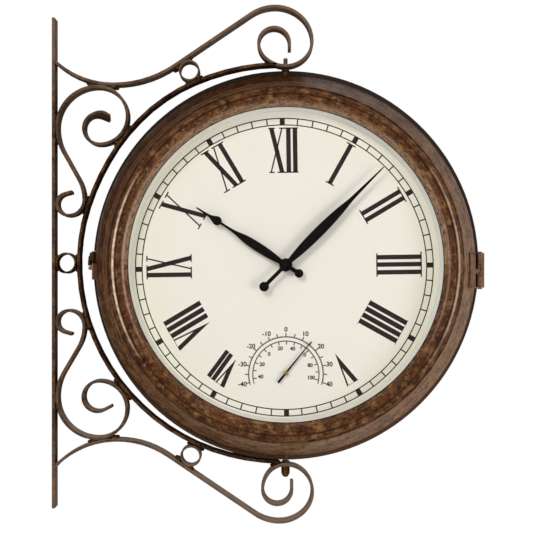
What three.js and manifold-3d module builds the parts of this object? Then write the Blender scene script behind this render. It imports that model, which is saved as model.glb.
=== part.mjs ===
// Double-sided station clock on a scrolled iron wall bracket.
// Lengths are millimetres and +Z is up. The wall is the plane X = 0, the bracket reaches out along +X,
// and the front dial looks along -Y. The origin is the middle of the wall bar's back face.
import * as THREE from 'three';
import { mergeVertices } from 'three/addons/utils/BufferGeometryUtils.js';
import Module from 'manifold-3d';

const wasm = await Module();
wasm.setup();

// Clearances that every piece shares
const seatGap = 0.3;
const runGap = 0.15;
const cutOverrun = 2;
const chordError = 0.16;
const weldDistance = 0.0001;

// How many flats stand for a full turn
const flats = { hexagon: 6, thin: 12, plain: 16, fine: 20, wide: 24, hidden: 24, case: 48 };
const domeSteps = 4;
const cornerSteps = 3;

const quarterTurn = Math.PI / 2;
const eighthTurn = Math.PI / 4;
const degree = Math.PI / 180;

// Clock case: two pressed steel shells that meet in the plane Y = 0
const caseDiameter = 380;
const caseDepth = 96;
const caseDrop = 2.2;
const caseRadius = caseDiameter / 2;
const halfDepth = caseDepth / 2;

// Strip iron of the bracket
const strip = { thickness: 3, width: 25 };
const halfStrip = strip.thickness / 2;
const wallBar = { overhang: 41, thickness: 3, screwHole: 6.5, screwInset: 10, screwPitch: 20 };
const hoop = { rimClearance: 2.8, caseGap: 10.5, segments: 72 };

// The scrolls sweep round the case and the rings fill the gaps between them, so both are shares of its radius
const ofCase = (share) => share * caseRadius;
const ring = { diameterShare: 0.10737, wall: 1.8 };
const ringDiameter = ofCase(ring.diameterShare);

// Heart scrolls between bar and hoop, radii of the centre line from the bar to the tip of each curl
const upperHeartShares = {
  bigCurlShares: [0.2079, 0.1532, 0.1421, 0.0821, 0.0737],
  bigTailShare: 0.0263,
  neckShare: 0.2632,
  hipShare: 0.2211,
  smallCurlHeightShare: 0.3226,
  smallCurlShare: 0.0789,
  smallTailCurlShare: 0.0526,
  smallTailShare: 0.0384,
};
const lowerHeartShares = {
  ...upperHeartShares,
  bigCurlShares: [0.2079, 0.1505, 0.1421, 0.0821, 0.0737],
  bigTailShare: 0.0421,
};
const heartTurn = { bigTail: 27 * degree, smallTail: 74 * degree };

function sizedHeart(shares) {
  return {
    bigCurlRadii: shares.bigCurlShares.map(ofCase),
    bigTail: ofCase(shares.bigTailShare),
    neckRadius: ofCase(shares.neckShare),
    hipRadius: ofCase(shares.hipShare),
    smallCurlHeight: ofCase(shares.smallCurlHeightShare),
    smallCurlRadius: ofCase(shares.smallCurlShare),
    smallTailRadius: ofCase(shares.smallTailCurlShare),
    smallTail: ofCase(shares.smallTailShare),
  };
}

// Pivot scrolls, radii of the centre line from the pivot outwards and inwards
const dipWallShare = 0.4447;
const upperLoopShares = {
  dipDistanceShare: 0.3158,
  braceShare: 0.5579,
  outwardShares: [0.1416, 0.1221, 0.1684, 0.1968],
  backShare: 0.2237,
  inwardShares: [0.1521, 0.1037],
  innerShare: 0.0789,
  tailShare: 0.0353,
};
const lowerLoopShares = {
  dipDistanceShare: 0.3342,
  braceShare: 0.4632,
  outwardShares: [0.1379, 0.1379, 0.1458, 0.1784],
  backShare: 0.2237,
  inwardShares: [0.11, 0.1368],
  innerShare: 0.0747,
  tailShare: 0.0453,
};
const dipWallRadius = ofCase(dipWallShare);

function sizedLoop(shares) {
  return {
    dipDistance: ofCase(shares.dipDistanceShare),
    braceRadius: ofCase(shares.braceShare),
    outwardRadii: shares.outwardShares.map(ofCase),
    backRadius: ofCase(shares.backShare),
    inwardRadii: shares.inwardShares.map(ofCase),
    innerRadius: ofCase(shares.innerShare),
    tail: ofCase(shares.tailShare),
  };
}

const upperHeart = sizedHeart(upperHeartShares);
const lowerHeart = sizedHeart(lowerHeartShares);
const upperLoop = { ...sizedLoop(upperLoopShares), heart: upperHeart, pivotGap: 2.7 };
const lowerLoop = { ...sizedLoop(lowerLoopShares), heart: lowerHeart, pivotGap: 2.8 };

// Pivots that carry the case in the two loops
const pivot = { pinDiameter: 4.2, topReach: 7, spacerDiameter: 7.6 };
const pivotBlock = { width: 16, frontReach: 5, rearReach: 10.5, height: 11, rimInset: 6.8 };
const capNut = { acrossFlats: 7.4, height: 10.7, boreDepth: 4.2, domeHeight: 3.2 };

// Shell section, radii as distances inwards from the case rim and depths outwards from the seam
const shell = { wall: 1, seamInset: 3.6, rimInset: 2.7, flange: 6.4, edgeRound: 1.1 };
const gasket = { thickness: 2.4, width: 6, pinSlot: 5.2 };
const slope = { startInset: 3.4, startDepth: 6, endInset: 17.5, endDepth: 36 };
const step = { depth: 2.6 };
const groove = { inset: 20.4, depth: 1.6 };
const crown = { outerInset: 22.2, midInset: 24.6, innerInset: 27.4, edgeDepth: 41.2, topDepth: 44 };
const band = { innerInset: 33.4, depth: 45.4 };
const bead = { inset: 34.4 };
const lip = { inset: 39.2, depth: 42 };
const openingRadius = caseRadius - lip.inset;

// Glass, surround and dial, from the lip back to the seam
const glass = { thickness: 2.2, lap: 3 };
const surround = { wall: 1.4, taper: 2.2 };
const dial = { depth: 22, thickness: 1, lap: 4 };
const clip = { count: 4, width: 14, thickness: 1.4, ringInset: 7, ringWidth: 6, startAngle: 45 * degree };

// Movement, its threaded neck and what turns on it
const movement = { width: 56, thickness: 15.5, corner: 5, neckDiameter: 8, neckLength: 3.4 };
const battery = { diameter: 14, length: 48, wall: 1.2, tipDiameter: 5.4, tipLength: 1.6, edgeInset: 12 };
const neckNut = { acrossFlats: 12, thickness: 2 };
const hourTube = { diameter: 5.2, bore: 3.4 };
const arbor = { diameter: 2.6 };
const settingKnob = { diameter: 13, thickness: 1.6, recess: 2.4 };
const handCap = { diameter: 6.8, height: 2.6 };
const handStack = { hourHeight: 6.2, minuteHeight: 8.6, thickness: 0.8 };

// Hands: the blade's outline as shares of the hand's length and of its leaf's width
const minuteHand = {
  angle: 45 * degree,
  edgeGap: 17.4,
  stemWidth: 3.8,
  leafWidth: 9.8,
  leafShares: [
    [0.045, 0.53], [0.15, 0.84], [0.255, 0.98], [0.375, 1], [0.48, 0.89],
    [0.57, 0.7], [0.66, 0.43], [0.72, 0.35], [1, 0.1],
  ],
  ball: 29.6,
  ballDiameter: 9.4,
  hubDiameter: 12.6,
};
const hourHand = {
  angle: -57.3 * degree,
  edgeGap: 48.4,
  stemWidth: 4.2,
  leafWidth: 8.8,
  leafShares: [
    [0.059, 0.57], [0.117, 0.75], [0.195, 0.92], [0.293, 1], [0.39, 0.955], [0.469, 0.795], [0.547, 0.466],
    [0.605, 0.318], [0.732, 0.318], [0.775, 0.977], [0.82, 0.545], [0.859, 0.295], [1, 0.16],
  ],
  ball: 15.1,
  ballDiameter: 8.4,
  hubDiameter: 12.6,
  bulbShare: 0.7676,
  bulbDiameter: 8.7,
};

// Thermometer low on the dial
const thermometer = {
  edgeGap: 46.4,
  pointerAngle: 39 * degree,
  tip: 40,
  tail: 12,
  pointerWidth: 1.3,
  tipWidth: 0.65,
  tailWidth: 2.2,
  hubDiameter: 4.8,
  hubHeight: 1.2,
  pointerHeight: 2.4,
  pointerThickness: 0.5,
  spindleDiameter: 1.6,
  cupDiameter: 34,
  cupDepth: 8,
  cupWall: 0.8,
  coilTurns: 3,
  coilOuterRadius: 13,
  coilInnerRadius: 3.2,
  coilStrip: 0.7,
  coilHeight: 4,
};

// Hinge at three o'clock and latch at nine o'clock
const hinge = {
  barrelDiameter: 8.8,
  axisReach: 0.4,
  pinDiameter: 3,
  height: 34,
  drop: 4.9,
  knuckleGap: 0.4,
  leafThickness: 1.2,
  leafLength: 23,
  pinHead: 1,
  pinHeadDiameter: 5,
};
const latch = {
  studDepth: 9.5,
  studRise: 6.4,
  leverThickness: 2,
  headDiameter: 13,
  armWidth: 5,
  armReach: 20,
  rivetDiameter: 3.2,
  rivetHeadDiameter: 6,
  rivetHead: 1.2,
  baseWidth: 15,
  baseStart: 2.6,
  baseEnd: 18,
  rimPass: 0.5,
  keeperDepth: 8,
  keeperWidth: 9,
  keeperStart: 2.6,
  keeperEnd: 14,
  strapDrop: 14,
  keeperInset: 1.2,
  ballDrop: 2.6,
  ballDiameter: 4.2,
  ballReach: 0.3,
  neckDiameter: 2.4,
};

// Places worked out from the sizes above
const barFace = wallBar.thickness;
const tangentX = barFace + seatGap + halfStrip;
const hoopLeft = barFace + ringDiameter + 2 * seatGap;
const hoopOuter = caseRadius + hoop.rimClearance + strip.thickness;
const hoopCentreX = hoopLeft + hoopOuter;
const caseX = hoopLeft + strip.thickness + hoop.caseGap + caseRadius;
const thermometerDrop = openingRadius - thermometer.edgeGap;

const paint = {
  bracket: { color: 0x4a3527, roughness: 0.55, metalness: 0.35 },
  rust: { color: 0x6b4024, roughness: 0.5, metalness: 0.3 },
  rubber: { color: 0x14110f, roughness: 0.8, metalness: 0 },
  cream: { color: 0xe9e2d2, roughness: 0.6, metalness: 0 },
  paper: { color: 0xf4ece0, roughness: 0.7, metalness: 0 },
  glass: { color: 0xdfe8e6, roughness: 0.05, metalness: 0, transparent: true, opacity: 0.15 },
  black: { color: 0x161415, roughness: 0.45, metalness: 0.1 },
  steel: { color: 0x8d8f92, roughness: 0.35, metalness: 0.9 },
  brass: { color: 0xa98441, roughness: 0.35, metalness: 0.9 },
  plastic: { color: 0x2a2a2c, roughness: 0.6, metalness: 0 },
  cell: { color: 0x6f7f8a, roughness: 0.4, metalness: 0.3 },
};

// Solids

function solidOf(geometry) {
  const bare = geometry.clone();
  bare.deleteAttribute('normal');
  bare.deleteAttribute('uv');
  const merged = mergeVertices(bare, weldDistance);
  const places = merged.attributes.position.array;
  const kept = [];
  let sixVolumes = 0;
  for (let i = 0; i < merged.index.count; i += 3) {
    const [a, b, c] = [0, 1, 2].map((k) => merged.index.getX(i + k));
    if (a === b || b === c || c === a) continue;
    kept.push(a, b, c);
    const [p, q, r] = [a, b, c].map((v) => new THREE.Vector3().fromArray(places, 3 * v));
    sixVolumes += p.dot(q.cross(r));
  }
  if (sixVolumes < 0) {
    for (let i = 0; i < kept.length; i += 3) {
      [kept[i + 1], kept[i + 2]] = [kept[i + 2], kept[i + 1]];
    }
  }
  const mesh = new wasm.Mesh({
    numProp: 3,
    vertProperties: new Float32Array(places),
    triVerts: new Uint32Array(kept),
  });
  return new wasm.Manifold(mesh);
}

function geometryOf(solid) {
  const mesh = solid.getMesh();
  const geometry = new THREE.BufferGeometry();
  geometry.setAttribute('position', new THREE.BufferAttribute(new Float32Array(mesh.vertProperties), 3));
  geometry.setIndex(new THREE.BufferAttribute(new Uint32Array(mesh.triVerts), 1));
  geometry.computeVertexNormals();
  return geometry;
}

function joined(solids) {
  return solids.reduce((whole, piece) => whole.add(piece));
}

function without(solid, cutters) {
  return cutters.reduce((whole, cutter) => whole.subtract(cutter), solid);
}

function box(low, high) {
  const size = low.map((value, i) => high[i] - value);
  const middle = low.map((value, i) => (high[i] + value) / 2);
  return solidOf(new THREE.BoxGeometry(...size).translate(...middle));
}

// A round bar along an axis between two places on it, with its centre line at the other two coordinates
function rod(axis, from, to, diameter, centre, segments = flats.plain) {
  const geometry = new THREE.CylinderGeometry(diameter / 2, diameter / 2, Math.abs(to - from), segments);
  const middle = (from + to) / 2;
  if (axis === 'x') geometry.rotateZ(quarterTurn).translate(middle, centre[0], centre[1]);
  if (axis === 'y') geometry.translate(centre[0], middle, centre[1]);
  if (axis === 'z') geometry.rotateX(quarterTurn).translate(centre[0], centre[1], middle);
  return solidOf(geometry);
}

function hexagon(axis, from, to, acrossFlats, centre) {
  return rod(axis, from, to, acrossFlats / Math.cos(Math.PI / flats.hexagon), centre, flats.hexagon);
}

// A turned piece about the Y axis from its closed outline of [radius, place along Y]
function turned(outline, segments) {
  const points = outline.map(([radius, along]) => new THREE.Vector2(radius, along));
  if (points[0].x > 0 || points[points.length - 1].x > 0) points.push(points[0].clone());
  return solidOf(new THREE.LatheGeometry(points, segments));
}

// A flat piece cut from its outline in the X Z plane, between two places along Y
function plate(outline, from, to) {
  const shape = new THREE.Shape(outline.map(([x, z]) => new THREE.Vector2(x, z)));
  const geometry = new THREE.ExtrudeGeometry(shape, { depth: to - from, bevelEnabled: false, steps: 1 });
  geometry.rotateX(quarterTurn).translate(0, to, 0);
  return solidOf(geometry);
}

// A flat piece cut from its outline in the X Y plane, between two places along Z
function slab(outline, from, to) {
  const shape = new THREE.Shape(outline.map(([x, y]) => new THREE.Vector2(x, y)));
  const geometry = new THREE.ExtrudeGeometry(shape, { depth: to - from, bevelEnabled: false, steps: 1 });
  return solidOf(geometry.translate(0, 0, from));
}

// Bent strip

// The centre line of a bent strip, built from arcs and straights; a turn to the left is positive.
class BentLine {
  constructor(x, z, heading) {
    this.points = [{ x, z, heading }];
  }

  get end() {
    return this.points[this.points.length - 1];
  }

  arc(radius, turn) {
    const { x, z, heading } = this.end;
    const side = Math.sign(turn);
    const centreX = x - side * radius * Math.sin(heading);
    const centreZ = z + side * radius * Math.cos(heading);
    const steps = Math.max(1, Math.ceil(Math.abs(turn) / (2 * Math.acos(1 - chordError / radius))));
    for (let i = 1; i <= steps; i += 1) {
      const h = heading + (turn * i) / steps;
      this.points.push({
        x: centreX + side * radius * Math.sin(h),
        z: centreZ - side * radius * Math.cos(h),
        heading: h,
      });
    }
    return this;
  }

  straight(length) {
    const { x, z, heading } = this.end;
    this.points.push({ x: x + length * Math.cos(heading), z: z + length * Math.sin(heading), heading });
    return this;
  }

  // The same line walked from its end to its start, then on along another line
  backThen(other) {
    const back = this.points.map((p) => ({ ...p, heading: p.heading + Math.PI })).reverse();
    return back.concat(other.points.slice(1));
  }
}

// A bent strip in its true width, mirrored below the origin's height when side is -1.
// Each point of the line gives the four corners of the strip's section there.
function bentStrip(points, side) {
  const half = strip.width / 2;
  const corners = points.flatMap(({ x, z, heading }) => {
    const across = [-halfStrip * Math.sin(heading), halfStrip * Math.cos(heading)];
    const at = (sign, y) => [x + sign * across[0], y, side * (z + sign * across[1])];
    return [at(1, -half), at(1, half), at(-1, half), at(-1, -half)];
  });
  const quads = [[0, 1, 2, 3]];
  for (let i = 0; i + 4 < corners.length; i += 4) {
    for (let k = 0; k < 4; k += 1) {
      const next = (k + 1) % 4;
      quads.push([i + k, i + 4 + k, i + 4 + next, i + next]);
    }
  }
  const last = corners.length - 4;
  quads.push([last, last + 3, last + 2, last + 1]);
  const geometry = new THREE.BufferGeometry();
  geometry.setAttribute('position', new THREE.Float32BufferAttribute(corners.flat(), 3));
  geometry.setIndex(quads.flatMap(([a, b, c, d]) => [a, b, c, a, c, d]));
  return solidOf(geometry);
}

// The heading of the straight that leaves a left-hand circle and joins a right-hand one, and its length
function crossingStraight(left, right) {
  const away = Math.atan2(right.z - left.z, right.x - left.x);
  const span = Math.hypot(right.x - left.x, right.z - left.z);
  const reach = left.radius + right.radius;
  return { heading: away + Math.asin(reach / span), length: Math.sqrt(span * span - reach * reach) };
}

function forward(angle, start) {
  const turn = (angle - start) % (2 * Math.PI);
  return turn < 0 ? turn + 2 * Math.PI : turn;
}

// Bracket

function heartPlaces(heart) {
  const [rise, shoulder, flank] = heart.bigCurlRadii;
  const flankX = tangentX + rise + shoulder - flank;
  const flankReach = hoopOuter + seatGap + halfStrip + flank;
  const shoulderZ = Math.sqrt(flankReach ** 2 - (hoopCentreX - flankX) ** 2);
  const smallReach = hoopOuter + seatGap + halfStrip + heart.smallCurlRadius;
  return {
    start: shoulderZ - rise + shoulder,
    shoulder: { x: tangentX + rise, z: shoulderZ, radius: shoulder },
    smallCurlX: hoopCentreX - Math.sqrt(smallReach ** 2 - heart.smallCurlHeight ** 2),
  };
}

function heartScroll(heart, side) {
  const { start, smallCurlX } = heartPlaces(heart);
  const up = new BentLine(tangentX, start, quarterTurn);
  heart.bigCurlRadii.forEach((radius) => up.arc(radius, -quarterTurn));
  up.arc(heart.bigCurlRadii[heart.bigCurlRadii.length - 1], -heartTurn.bigTail).straight(heart.bigTail);
  const neck = { x: tangentX + heart.neckRadius, z: start, radius: heart.neckRadius };
  const hip = {
    x: smallCurlX + heart.smallCurlRadius - heart.hipRadius,
    z: heart.smallCurlHeight,
    radius: heart.hipRadius,
  };
  const diagonal = crossingStraight(neck, hip);
  const turn = forward(diagonal.heading, -quarterTurn);
  const down = new BentLine(tangentX, start, -quarterTurn)
    .arc(heart.neckRadius, turn)
    .straight(diagonal.length)
    .arc(hip.radius, -turn)
    .arc(heart.smallCurlRadius, -quarterTurn)
    .arc(smallCurlX - tangentX, -quarterTurn)
    .arc(heart.smallTailRadius, -heartTurn.smallTail)
    .straight(heart.smallTail);
  return bentStrip(up.backThen(down), side);
}

function loopPlaces(loop, side) {
  const pivotZ = caseRadius + loop.pivotGap + halfStrip - side * caseDrop;
  const { shoulder } = heartPlaces(loop.heart);
  const touch = shoulder.radius + dipWallRadius + strip.thickness + seatGap;
  const rise = Math.sqrt(touch ** 2 - (loop.dipDistance - shoulder.x) ** 2);
  return { pivotZ, dipZ: shoulder.z + rise - dipWallRadius };
}

function loopScroll(loop, side) {
  const { pivotZ, dipZ } = loopPlaces(loop, side);
  const inward = new BentLine(caseX, pivotZ, Math.PI);
  loop.inwardRadii.forEach((radius) => inward.arc(radius, -eighthTurn));
  inward.arc(loop.innerRadius, -Math.PI).straight(loop.tail);
  const outward = new BentLine(caseX, pivotZ, 0);
  loop.outwardRadii.forEach((radius) => outward.arc(radius, eighthTurn));
  const { x, z } = outward.end;
  const back = { x, z: z - loop.backRadius, radius: loop.backRadius };
  const brace = { x: loop.dipDistance, z: dipZ + loop.braceRadius, radius: loop.braceRadius };
  const straight = crossingStraight(back, brace);
  const turn = forward(straight.heading, Math.PI);
  const wallTurn = Math.asin((loop.dipDistance - barFace + cutOverrun) / dipWallRadius);
  outward.arc(loop.backRadius, turn);
  const straightStart = outward.end;
  outward
    .straight(straight.length)
    .arc(loop.braceRadius, -turn)
    .arc(dipWallRadius, -wallTurn);
  const points = inward.backThen(outward);
  const body = bentStrip(points, side);
  const wide = strip.width;
  const wallSide = box([-caseDiameter, -wide, -caseDiameter], [barFace + seatGap, wide, caseDiameter]);
  const hole = rod(
    'z',
    side * (pivotZ - strip.thickness),
    side * (pivotZ + strip.thickness),
    pivot.pinDiameter + 2 * runGap,
    [caseX, 0],
  );
  return { solid: without(body, [wallSide, hole]), straightStart };
}

// A ring that touches the hoop outside and the brace's underside
function braceRing(straightStart, side) {
  const radius = ringDiameter / 2;
  const reach = hoopOuter + seatGap + radius;
  const away = halfStrip + seatGap + radius;
  const { x, z, heading } = straightStart;
  const normal = [-Math.sin(heading), Math.cos(heading)];
  const start = [x + away * normal[0] - hoopCentreX, z + away * normal[1]];
  const along = [Math.cos(heading), Math.sin(heading)];
  const half = start[0] * along[0] + start[1] * along[1];
  const far = start[0] ** 2 + start[1] ** 2 - reach ** 2;
  const run = -half - Math.sqrt(half ** 2 - far);
  const centre = [start[0] + run * along[0] + hoopCentreX, start[1] + run * along[1]];
  return ringAt(centre[0], side * centre[1]);
}

function ringAt(x, z) {
  const from = -strip.width / 2;
  const to = strip.width / 2;
  const boreDiameter = ringDiameter - 2 * ring.wall;
  const outside = rod('y', from, to, ringDiameter, [x, z], flats.fine);
  return outside.subtract(rod('y', from - cutOverrun, to + cutOverrun, boreDiameter, [x, z], flats.fine));
}

// The hoop is cut where its outer face would meet each loop, and clear of the lower spacer
function bentHoop() {
  const radius = hoopOuter - halfStrip;
  const loopTouch = (loop, side) => {
    const { pivotZ } = loopPlaces(loop, side);
    const centre = { x: caseX - hoopCentreX, z: pivotZ + loop.inwardRadii[0] };
    const loopRadius = loop.inwardRadii[0] + halfStrip + seatGap;
    const span = Math.hypot(centre.x, centre.z);
    if (span > hoopOuter + loopRadius) return null;
    const swing = Math.acos(
      (hoopOuter ** 2 + span ** 2 - loopRadius ** 2) / (2 * hoopOuter * span),
    );
    return Math.atan2(centre.z, centre.x) + swing;
  };
  const clearOfSpacer = Math.acos((caseX - hoopCentreX - pivot.spacerDiameter / 2 - seatGap) / radius);
  const top = Math.max(loopTouch(upperLoop, 1) ?? 0, clearOfSpacer);
  const bottom = Math.max(loopTouch(lowerLoop, -1) ?? 0, clearOfSpacer);
  const points = [];
  for (let i = 0; i <= hoop.segments; i += 1) {
    const angle = top + ((2 * Math.PI - top - bottom) * i) / hoop.segments;
    points.push({
      x: hoopCentreX + radius * Math.cos(angle),
      z: radius * Math.sin(angle),
      heading: angle + quarterTurn,
    });
  }
  return bentStrip(points, 1);
}

// How far up a loop scroll's foot meets the wall bar
function footHeight(loop, side) {
  const reach = loop.dipDistance - barFace;
  return loopPlaces(loop, side).dipZ + dipWallRadius - Math.sqrt(dipWallRadius ** 2 - reach ** 2);
}

function wallBarSolid() {
  const half = Math.max(footHeight(upperLoop, 1), footHeight(lowerLoop, -1)) + wallBar.overhang;
  const body = box([0, -strip.width / 2, -half], [wallBar.thickness, strip.width / 2, half]);
  const holes = [];
  for (const side of [-1, 1]) {
    for (let i = 0; i < 2; i += 1) {
      const z = side * (half - wallBar.screwInset - i * wallBar.screwPitch);
      holes.push(rod('x', -cutOverrun, wallBar.thickness + cutOverrun, wallBar.screwHole, [0, z]));
    }
  }
  return without(body, holes);
}

// Case, in its own frame: the dial centre's axis is Y, the front half lies at negative Y

const rimRadius = caseRadius - shell.rimInset;
const seamFace = gasket.thickness / 2 + seatGap;

function shellOutline() {
  const at = (inset, depth) => [caseRadius - inset, depth];
  const outer = [
    at(shell.seamInset + shell.flange, seamFace),
    at(shell.seamInset, seamFace),
    at(shell.rimInset, seamFace + shell.edgeRound),
    at(slope.startInset, slope.startDepth),
    at(slope.endInset, slope.endDepth),
    at(groove.inset, slope.endDepth + step.depth),
    at(crown.outerInset, crown.edgeDepth),
    at(crown.midInset, crown.topDepth),
    at(crown.innerInset, crown.topDepth - groove.depth / 2),
    at(band.innerInset, band.depth),
    at(bead.inset, halfDepth),
    at(lip.inset, lip.depth),
  ];
  const wall = shell.wall;
  const inner = [
    at(lip.inset, lip.depth - wall),
    at(bead.inset - wall, halfDepth - 2 * wall),
    at(crown.innerInset + wall, crown.topDepth - groove.depth / 2 - wall),
    at(crown.outerInset + wall, slope.endDepth + step.depth - wall),
    at(slope.endInset + wall, slope.endDepth - wall / 2),
    at(slope.startInset + wall, slope.startDepth),
    at(slope.startInset + wall, seamFace + wall),
    at(shell.seamInset + shell.flange, seamFace + wall),
  ];
  return outer.concat(inner);
}

// side is -1 for the front half and 1 for the rear half
function shellSolid(side) {
  const body = turned(shellOutline().map(([radius, depth]) => [radius, side * depth]), flats.case);
  return without(body, [...pivotCuts(), hingeCut()]);
}

// Room in the rim for each pivot pin and its block
function pivotCuts() {
  const slot = pivotBlock.width / 2 + seatGap;
  const innerReach = caseRadius - pivotBlock.rimInset - pivotBlock.height - cutOverrun;
  return [1, -1].flatMap((end) => {
    const radius = pivot.pinDiameter / 2 + seatGap;
    const ends = [end * innerReach, end * (caseRadius + cutOverrun)];
    const pinRoom = rod('z', ...ends, 2 * radius, [0, 0]);
    const low = [-slot, -pivotBlock.frontReach - seatGap, 0];
    const high = [slot, pivotBlock.rearReach + seatGap, caseRadius - pivotBlock.rimInset + seatGap];
    const blockRoom = end > 0 ? box(low, high) : box([low[0], low[1], -high[2]], [high[0], high[1], 0]);
    return [pinRoom, blockRoom];
  });
}

const hingeX = caseRadius + hinge.axisReach;
const latchSide = -1;

// The rims stop short of the hinge barrel
function hingeCut() {
  const reach = hinge.barrelDiameter / 2 + seatGap;
  const half = hinge.height / 2 + hinge.pinHead + 2 * seatGap;
  const [low, high] = [-hinge.drop - half, -hinge.drop + half];
  return box([hingeX - reach, -reach, low], [hingeX + reach, reach, high]);
}

// Each strip of the seal runs from one pivot pin to the other
function gasketSolid(end) {
  const half = gasket.thickness / 2;
  const body = turned(
    [
      [caseRadius - gasket.width, -half],
      [caseRadius, -half],
      [caseRadius, half],
      [caseRadius - gasket.width, half],
    ],
    flats.case,
  );
  const slots = [1, -1].map((end) => rod(
    'z',
    end * (caseRadius - gasket.width - cutOverrun),
    end * (caseRadius + cutOverrun),
    gasket.pinSlot,
    [0, 0],
  ));
  const away = caseDiameter;
  const ownSide = [Math.min(0, end * away), Math.max(0, end * away)];
  const own = box([ownSide[0], -away, -away], [ownSide[1], away, away]);
  return without(body.intersect(own), [...slots, hingeCut()]);
}

const pinBore = pivot.pinDiameter + 2 * seatGap;

function pivotBlockSolid(end) {
  const outer = caseRadius - pivotBlock.rimInset;
  const inner = outer - pivotBlock.height;
  const half = pivotBlock.width / 2;
  const places = [end * inner, end * outer].sort((a, b) => a - b);
  const body = box([-half, -pivotBlock.frontReach, places[0]], [half, pivotBlock.rearReach, places[1]]);
  const bore = rod('z', end * (inner + shell.wall), end * (outer + cutOverrun), pinBore, [0, 0]);
  return body.subtract(bore);
}

const topLoopFace = caseRadius + upperLoop.pivotGap;
const bottomLoopFace = caseRadius + lowerLoop.pivotGap;

// The cap nut's corners rest on the hollow side of the loop, so its face stands off by the sagitta
const nutHalfWidth = capNut.acrossFlats / (2 * Math.cos(Math.PI / 6));
const hollowRadius = Math.min(lowerLoop.inwardRadii[0], lowerLoop.outwardRadii[0]) - halfStrip;
const nutRise = hollowRadius - Math.sqrt(hollowRadius ** 2 - nutHalfWidth ** 2);
const nutFace = bottomLoopFace + strip.thickness + seatGap + nutRise;

function pivotPinSolid(end) {
  const start = caseRadius - pivotBlock.rimInset - pivotBlock.height + shell.wall + seatGap;
  const topEnd = topLoopFace + strip.thickness + pivot.topReach;
  const stop = end > 0 ? topEnd : nutFace + capNut.boreDepth - seatGap;
  return rod('z', end * start, end * stop, pivot.pinDiameter, [0, 0]);
}

function spacerSolid(end) {
  const loopFace = end > 0 ? topLoopFace : bottomLoopFace;
  const ends = [end * (caseRadius + seatGap), end * (loopFace - seatGap)];
  const body = rod('z', ...ends, pivot.spacerDiameter, [0, 0]);
  const bore = rod('z', ends[0] - end * cutOverrun, ends[1] + end * cutOverrun, pinBore, [0, 0]);
  return body.subtract(bore);
}

// A quarter of an oval, from its edge to its top
function domeArc(radius, height) {
  return Array.from({ length: domeSteps + 1 }, (_, i) => {
    const angle = (quarterTurn * i) / domeSteps;
    return [radius * Math.cos(angle), height * Math.sin(angle)];
  });
}

function capNutSolid() {
  const hexEnd = nutFace + capNut.height - capNut.domeHeight;
  const body = hexagon('z', -hexEnd, -nutFace, capNut.acrossFlats, [0, 0]);
  const domeRadius = capNut.acrossFlats / 2;
  const profile = domeArc(domeRadius, capNut.domeHeight).map(([x, y]) => new THREE.Vector2(x, y)).reverse();
  profile.push(new THREE.Vector2(domeRadius, -halfStrip), new THREE.Vector2(0, -halfStrip));
  const cap = new THREE.LatheGeometry(profile, flats.thin);
  const domeSolid = solidOf(cap.rotateX(-quarterTurn).translate(0, 0, -hexEnd));
  const bore = rod('z', -nutFace - capNut.boreDepth, -nutFace + cutOverrun, pinBore, [0, 0]);
  return body.add(domeSolid).subtract(bore);
}

function glassSolid(side) {
  const front = lip.depth - shell.wall - seatGap;
  const radius = openingRadius + glass.lap;
  return turned(
    [[0, side * (front - glass.thickness)], [radius, side * (front - glass.thickness)],
      [radius, side * front], [0, side * front]],
    flats.case,
  );
}

function surroundSolid(side) {
  const front = lip.depth - shell.wall - 2 * seatGap - glass.thickness;
  const back = dial.depth + seatGap;
  const backRadius = openingRadius - surround.taper;
  return turned(
    [
      [openingRadius, side * front],
      [openingRadius + surround.wall, side * front],
      [backRadius + surround.wall, side * back],
      [backRadius, side * back],
    ],
    flats.case,
  );
}

function dialSolid(side) {
  const radius = openingRadius - surround.taper + dial.lap;
  const body = turned(
    [[0, side * (dial.depth - dial.thickness)], [radius, side * (dial.depth - dial.thickness)],
      [radius, side * dial.depth], [0, side * dial.depth]],
    flats.case,
  );
  const neckRoom = movement.neckDiameter + 2 * seatGap;
  const spindleRoom = thermometer.spindleDiameter + 4 * runGap;
  const ends = [side * (dial.depth - dial.thickness - cutOverrun), side * (dial.depth + cutOverrun)];
  return without(body, [
    rod('y', ...ends, neckRoom, [0, 0]),
    rod('y', ...ends, spindleRoom, [0, -thermometerDrop], flats.thin),
  ]);
}

// A ring behind the dial's edge, held by four tabs that reach the shell's wall
function retainerSolid(side) {
  const outerDepth = dial.depth - dial.thickness - seatGap;
  const innerDepth = outerDepth - clip.thickness;
  const wallRun = (slope.endInset - slope.startInset) / (slope.endDepth - slope.startDepth);
  const wallInset = slope.startInset + wallRun * (outerDepth - slope.startDepth);
  const outer = caseRadius - wallInset - 2 * shell.wall;
  const inner = openingRadius - clip.ringInset;
  const ringOuter = inner + clip.ringWidth;
  const pieces = [turned(
    [
      [inner, side * innerDepth],
      [ringOuter, side * innerDepth],
      [ringOuter, side * outerDepth],
      [inner, side * outerDepth],
    ],
    flats.hidden,
  )];
  const low = [inner + clip.thickness, Math.min(side * outerDepth, side * innerDepth), -clip.width / 2];
  const high = [outer, Math.max(side * outerDepth, side * innerDepth), clip.width / 2];
  for (let i = 0; i < clip.count; i += 1) {
    const angle = clip.startAngle + (2 * Math.PI * i) / clip.count;
    pieces.push(box(low, high).rotate([0, angle / degree, 0]));
  }
  return joined(pieces);
}

// Movement: a moulded case behind the dial with a threaded neck through it and a battery bay
const movementFront = dial.depth - dial.thickness - seatGap;
const movementBack = movementFront - movement.thickness;
const batteryDrop = movement.width / 2 - battery.edgeInset;

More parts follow.
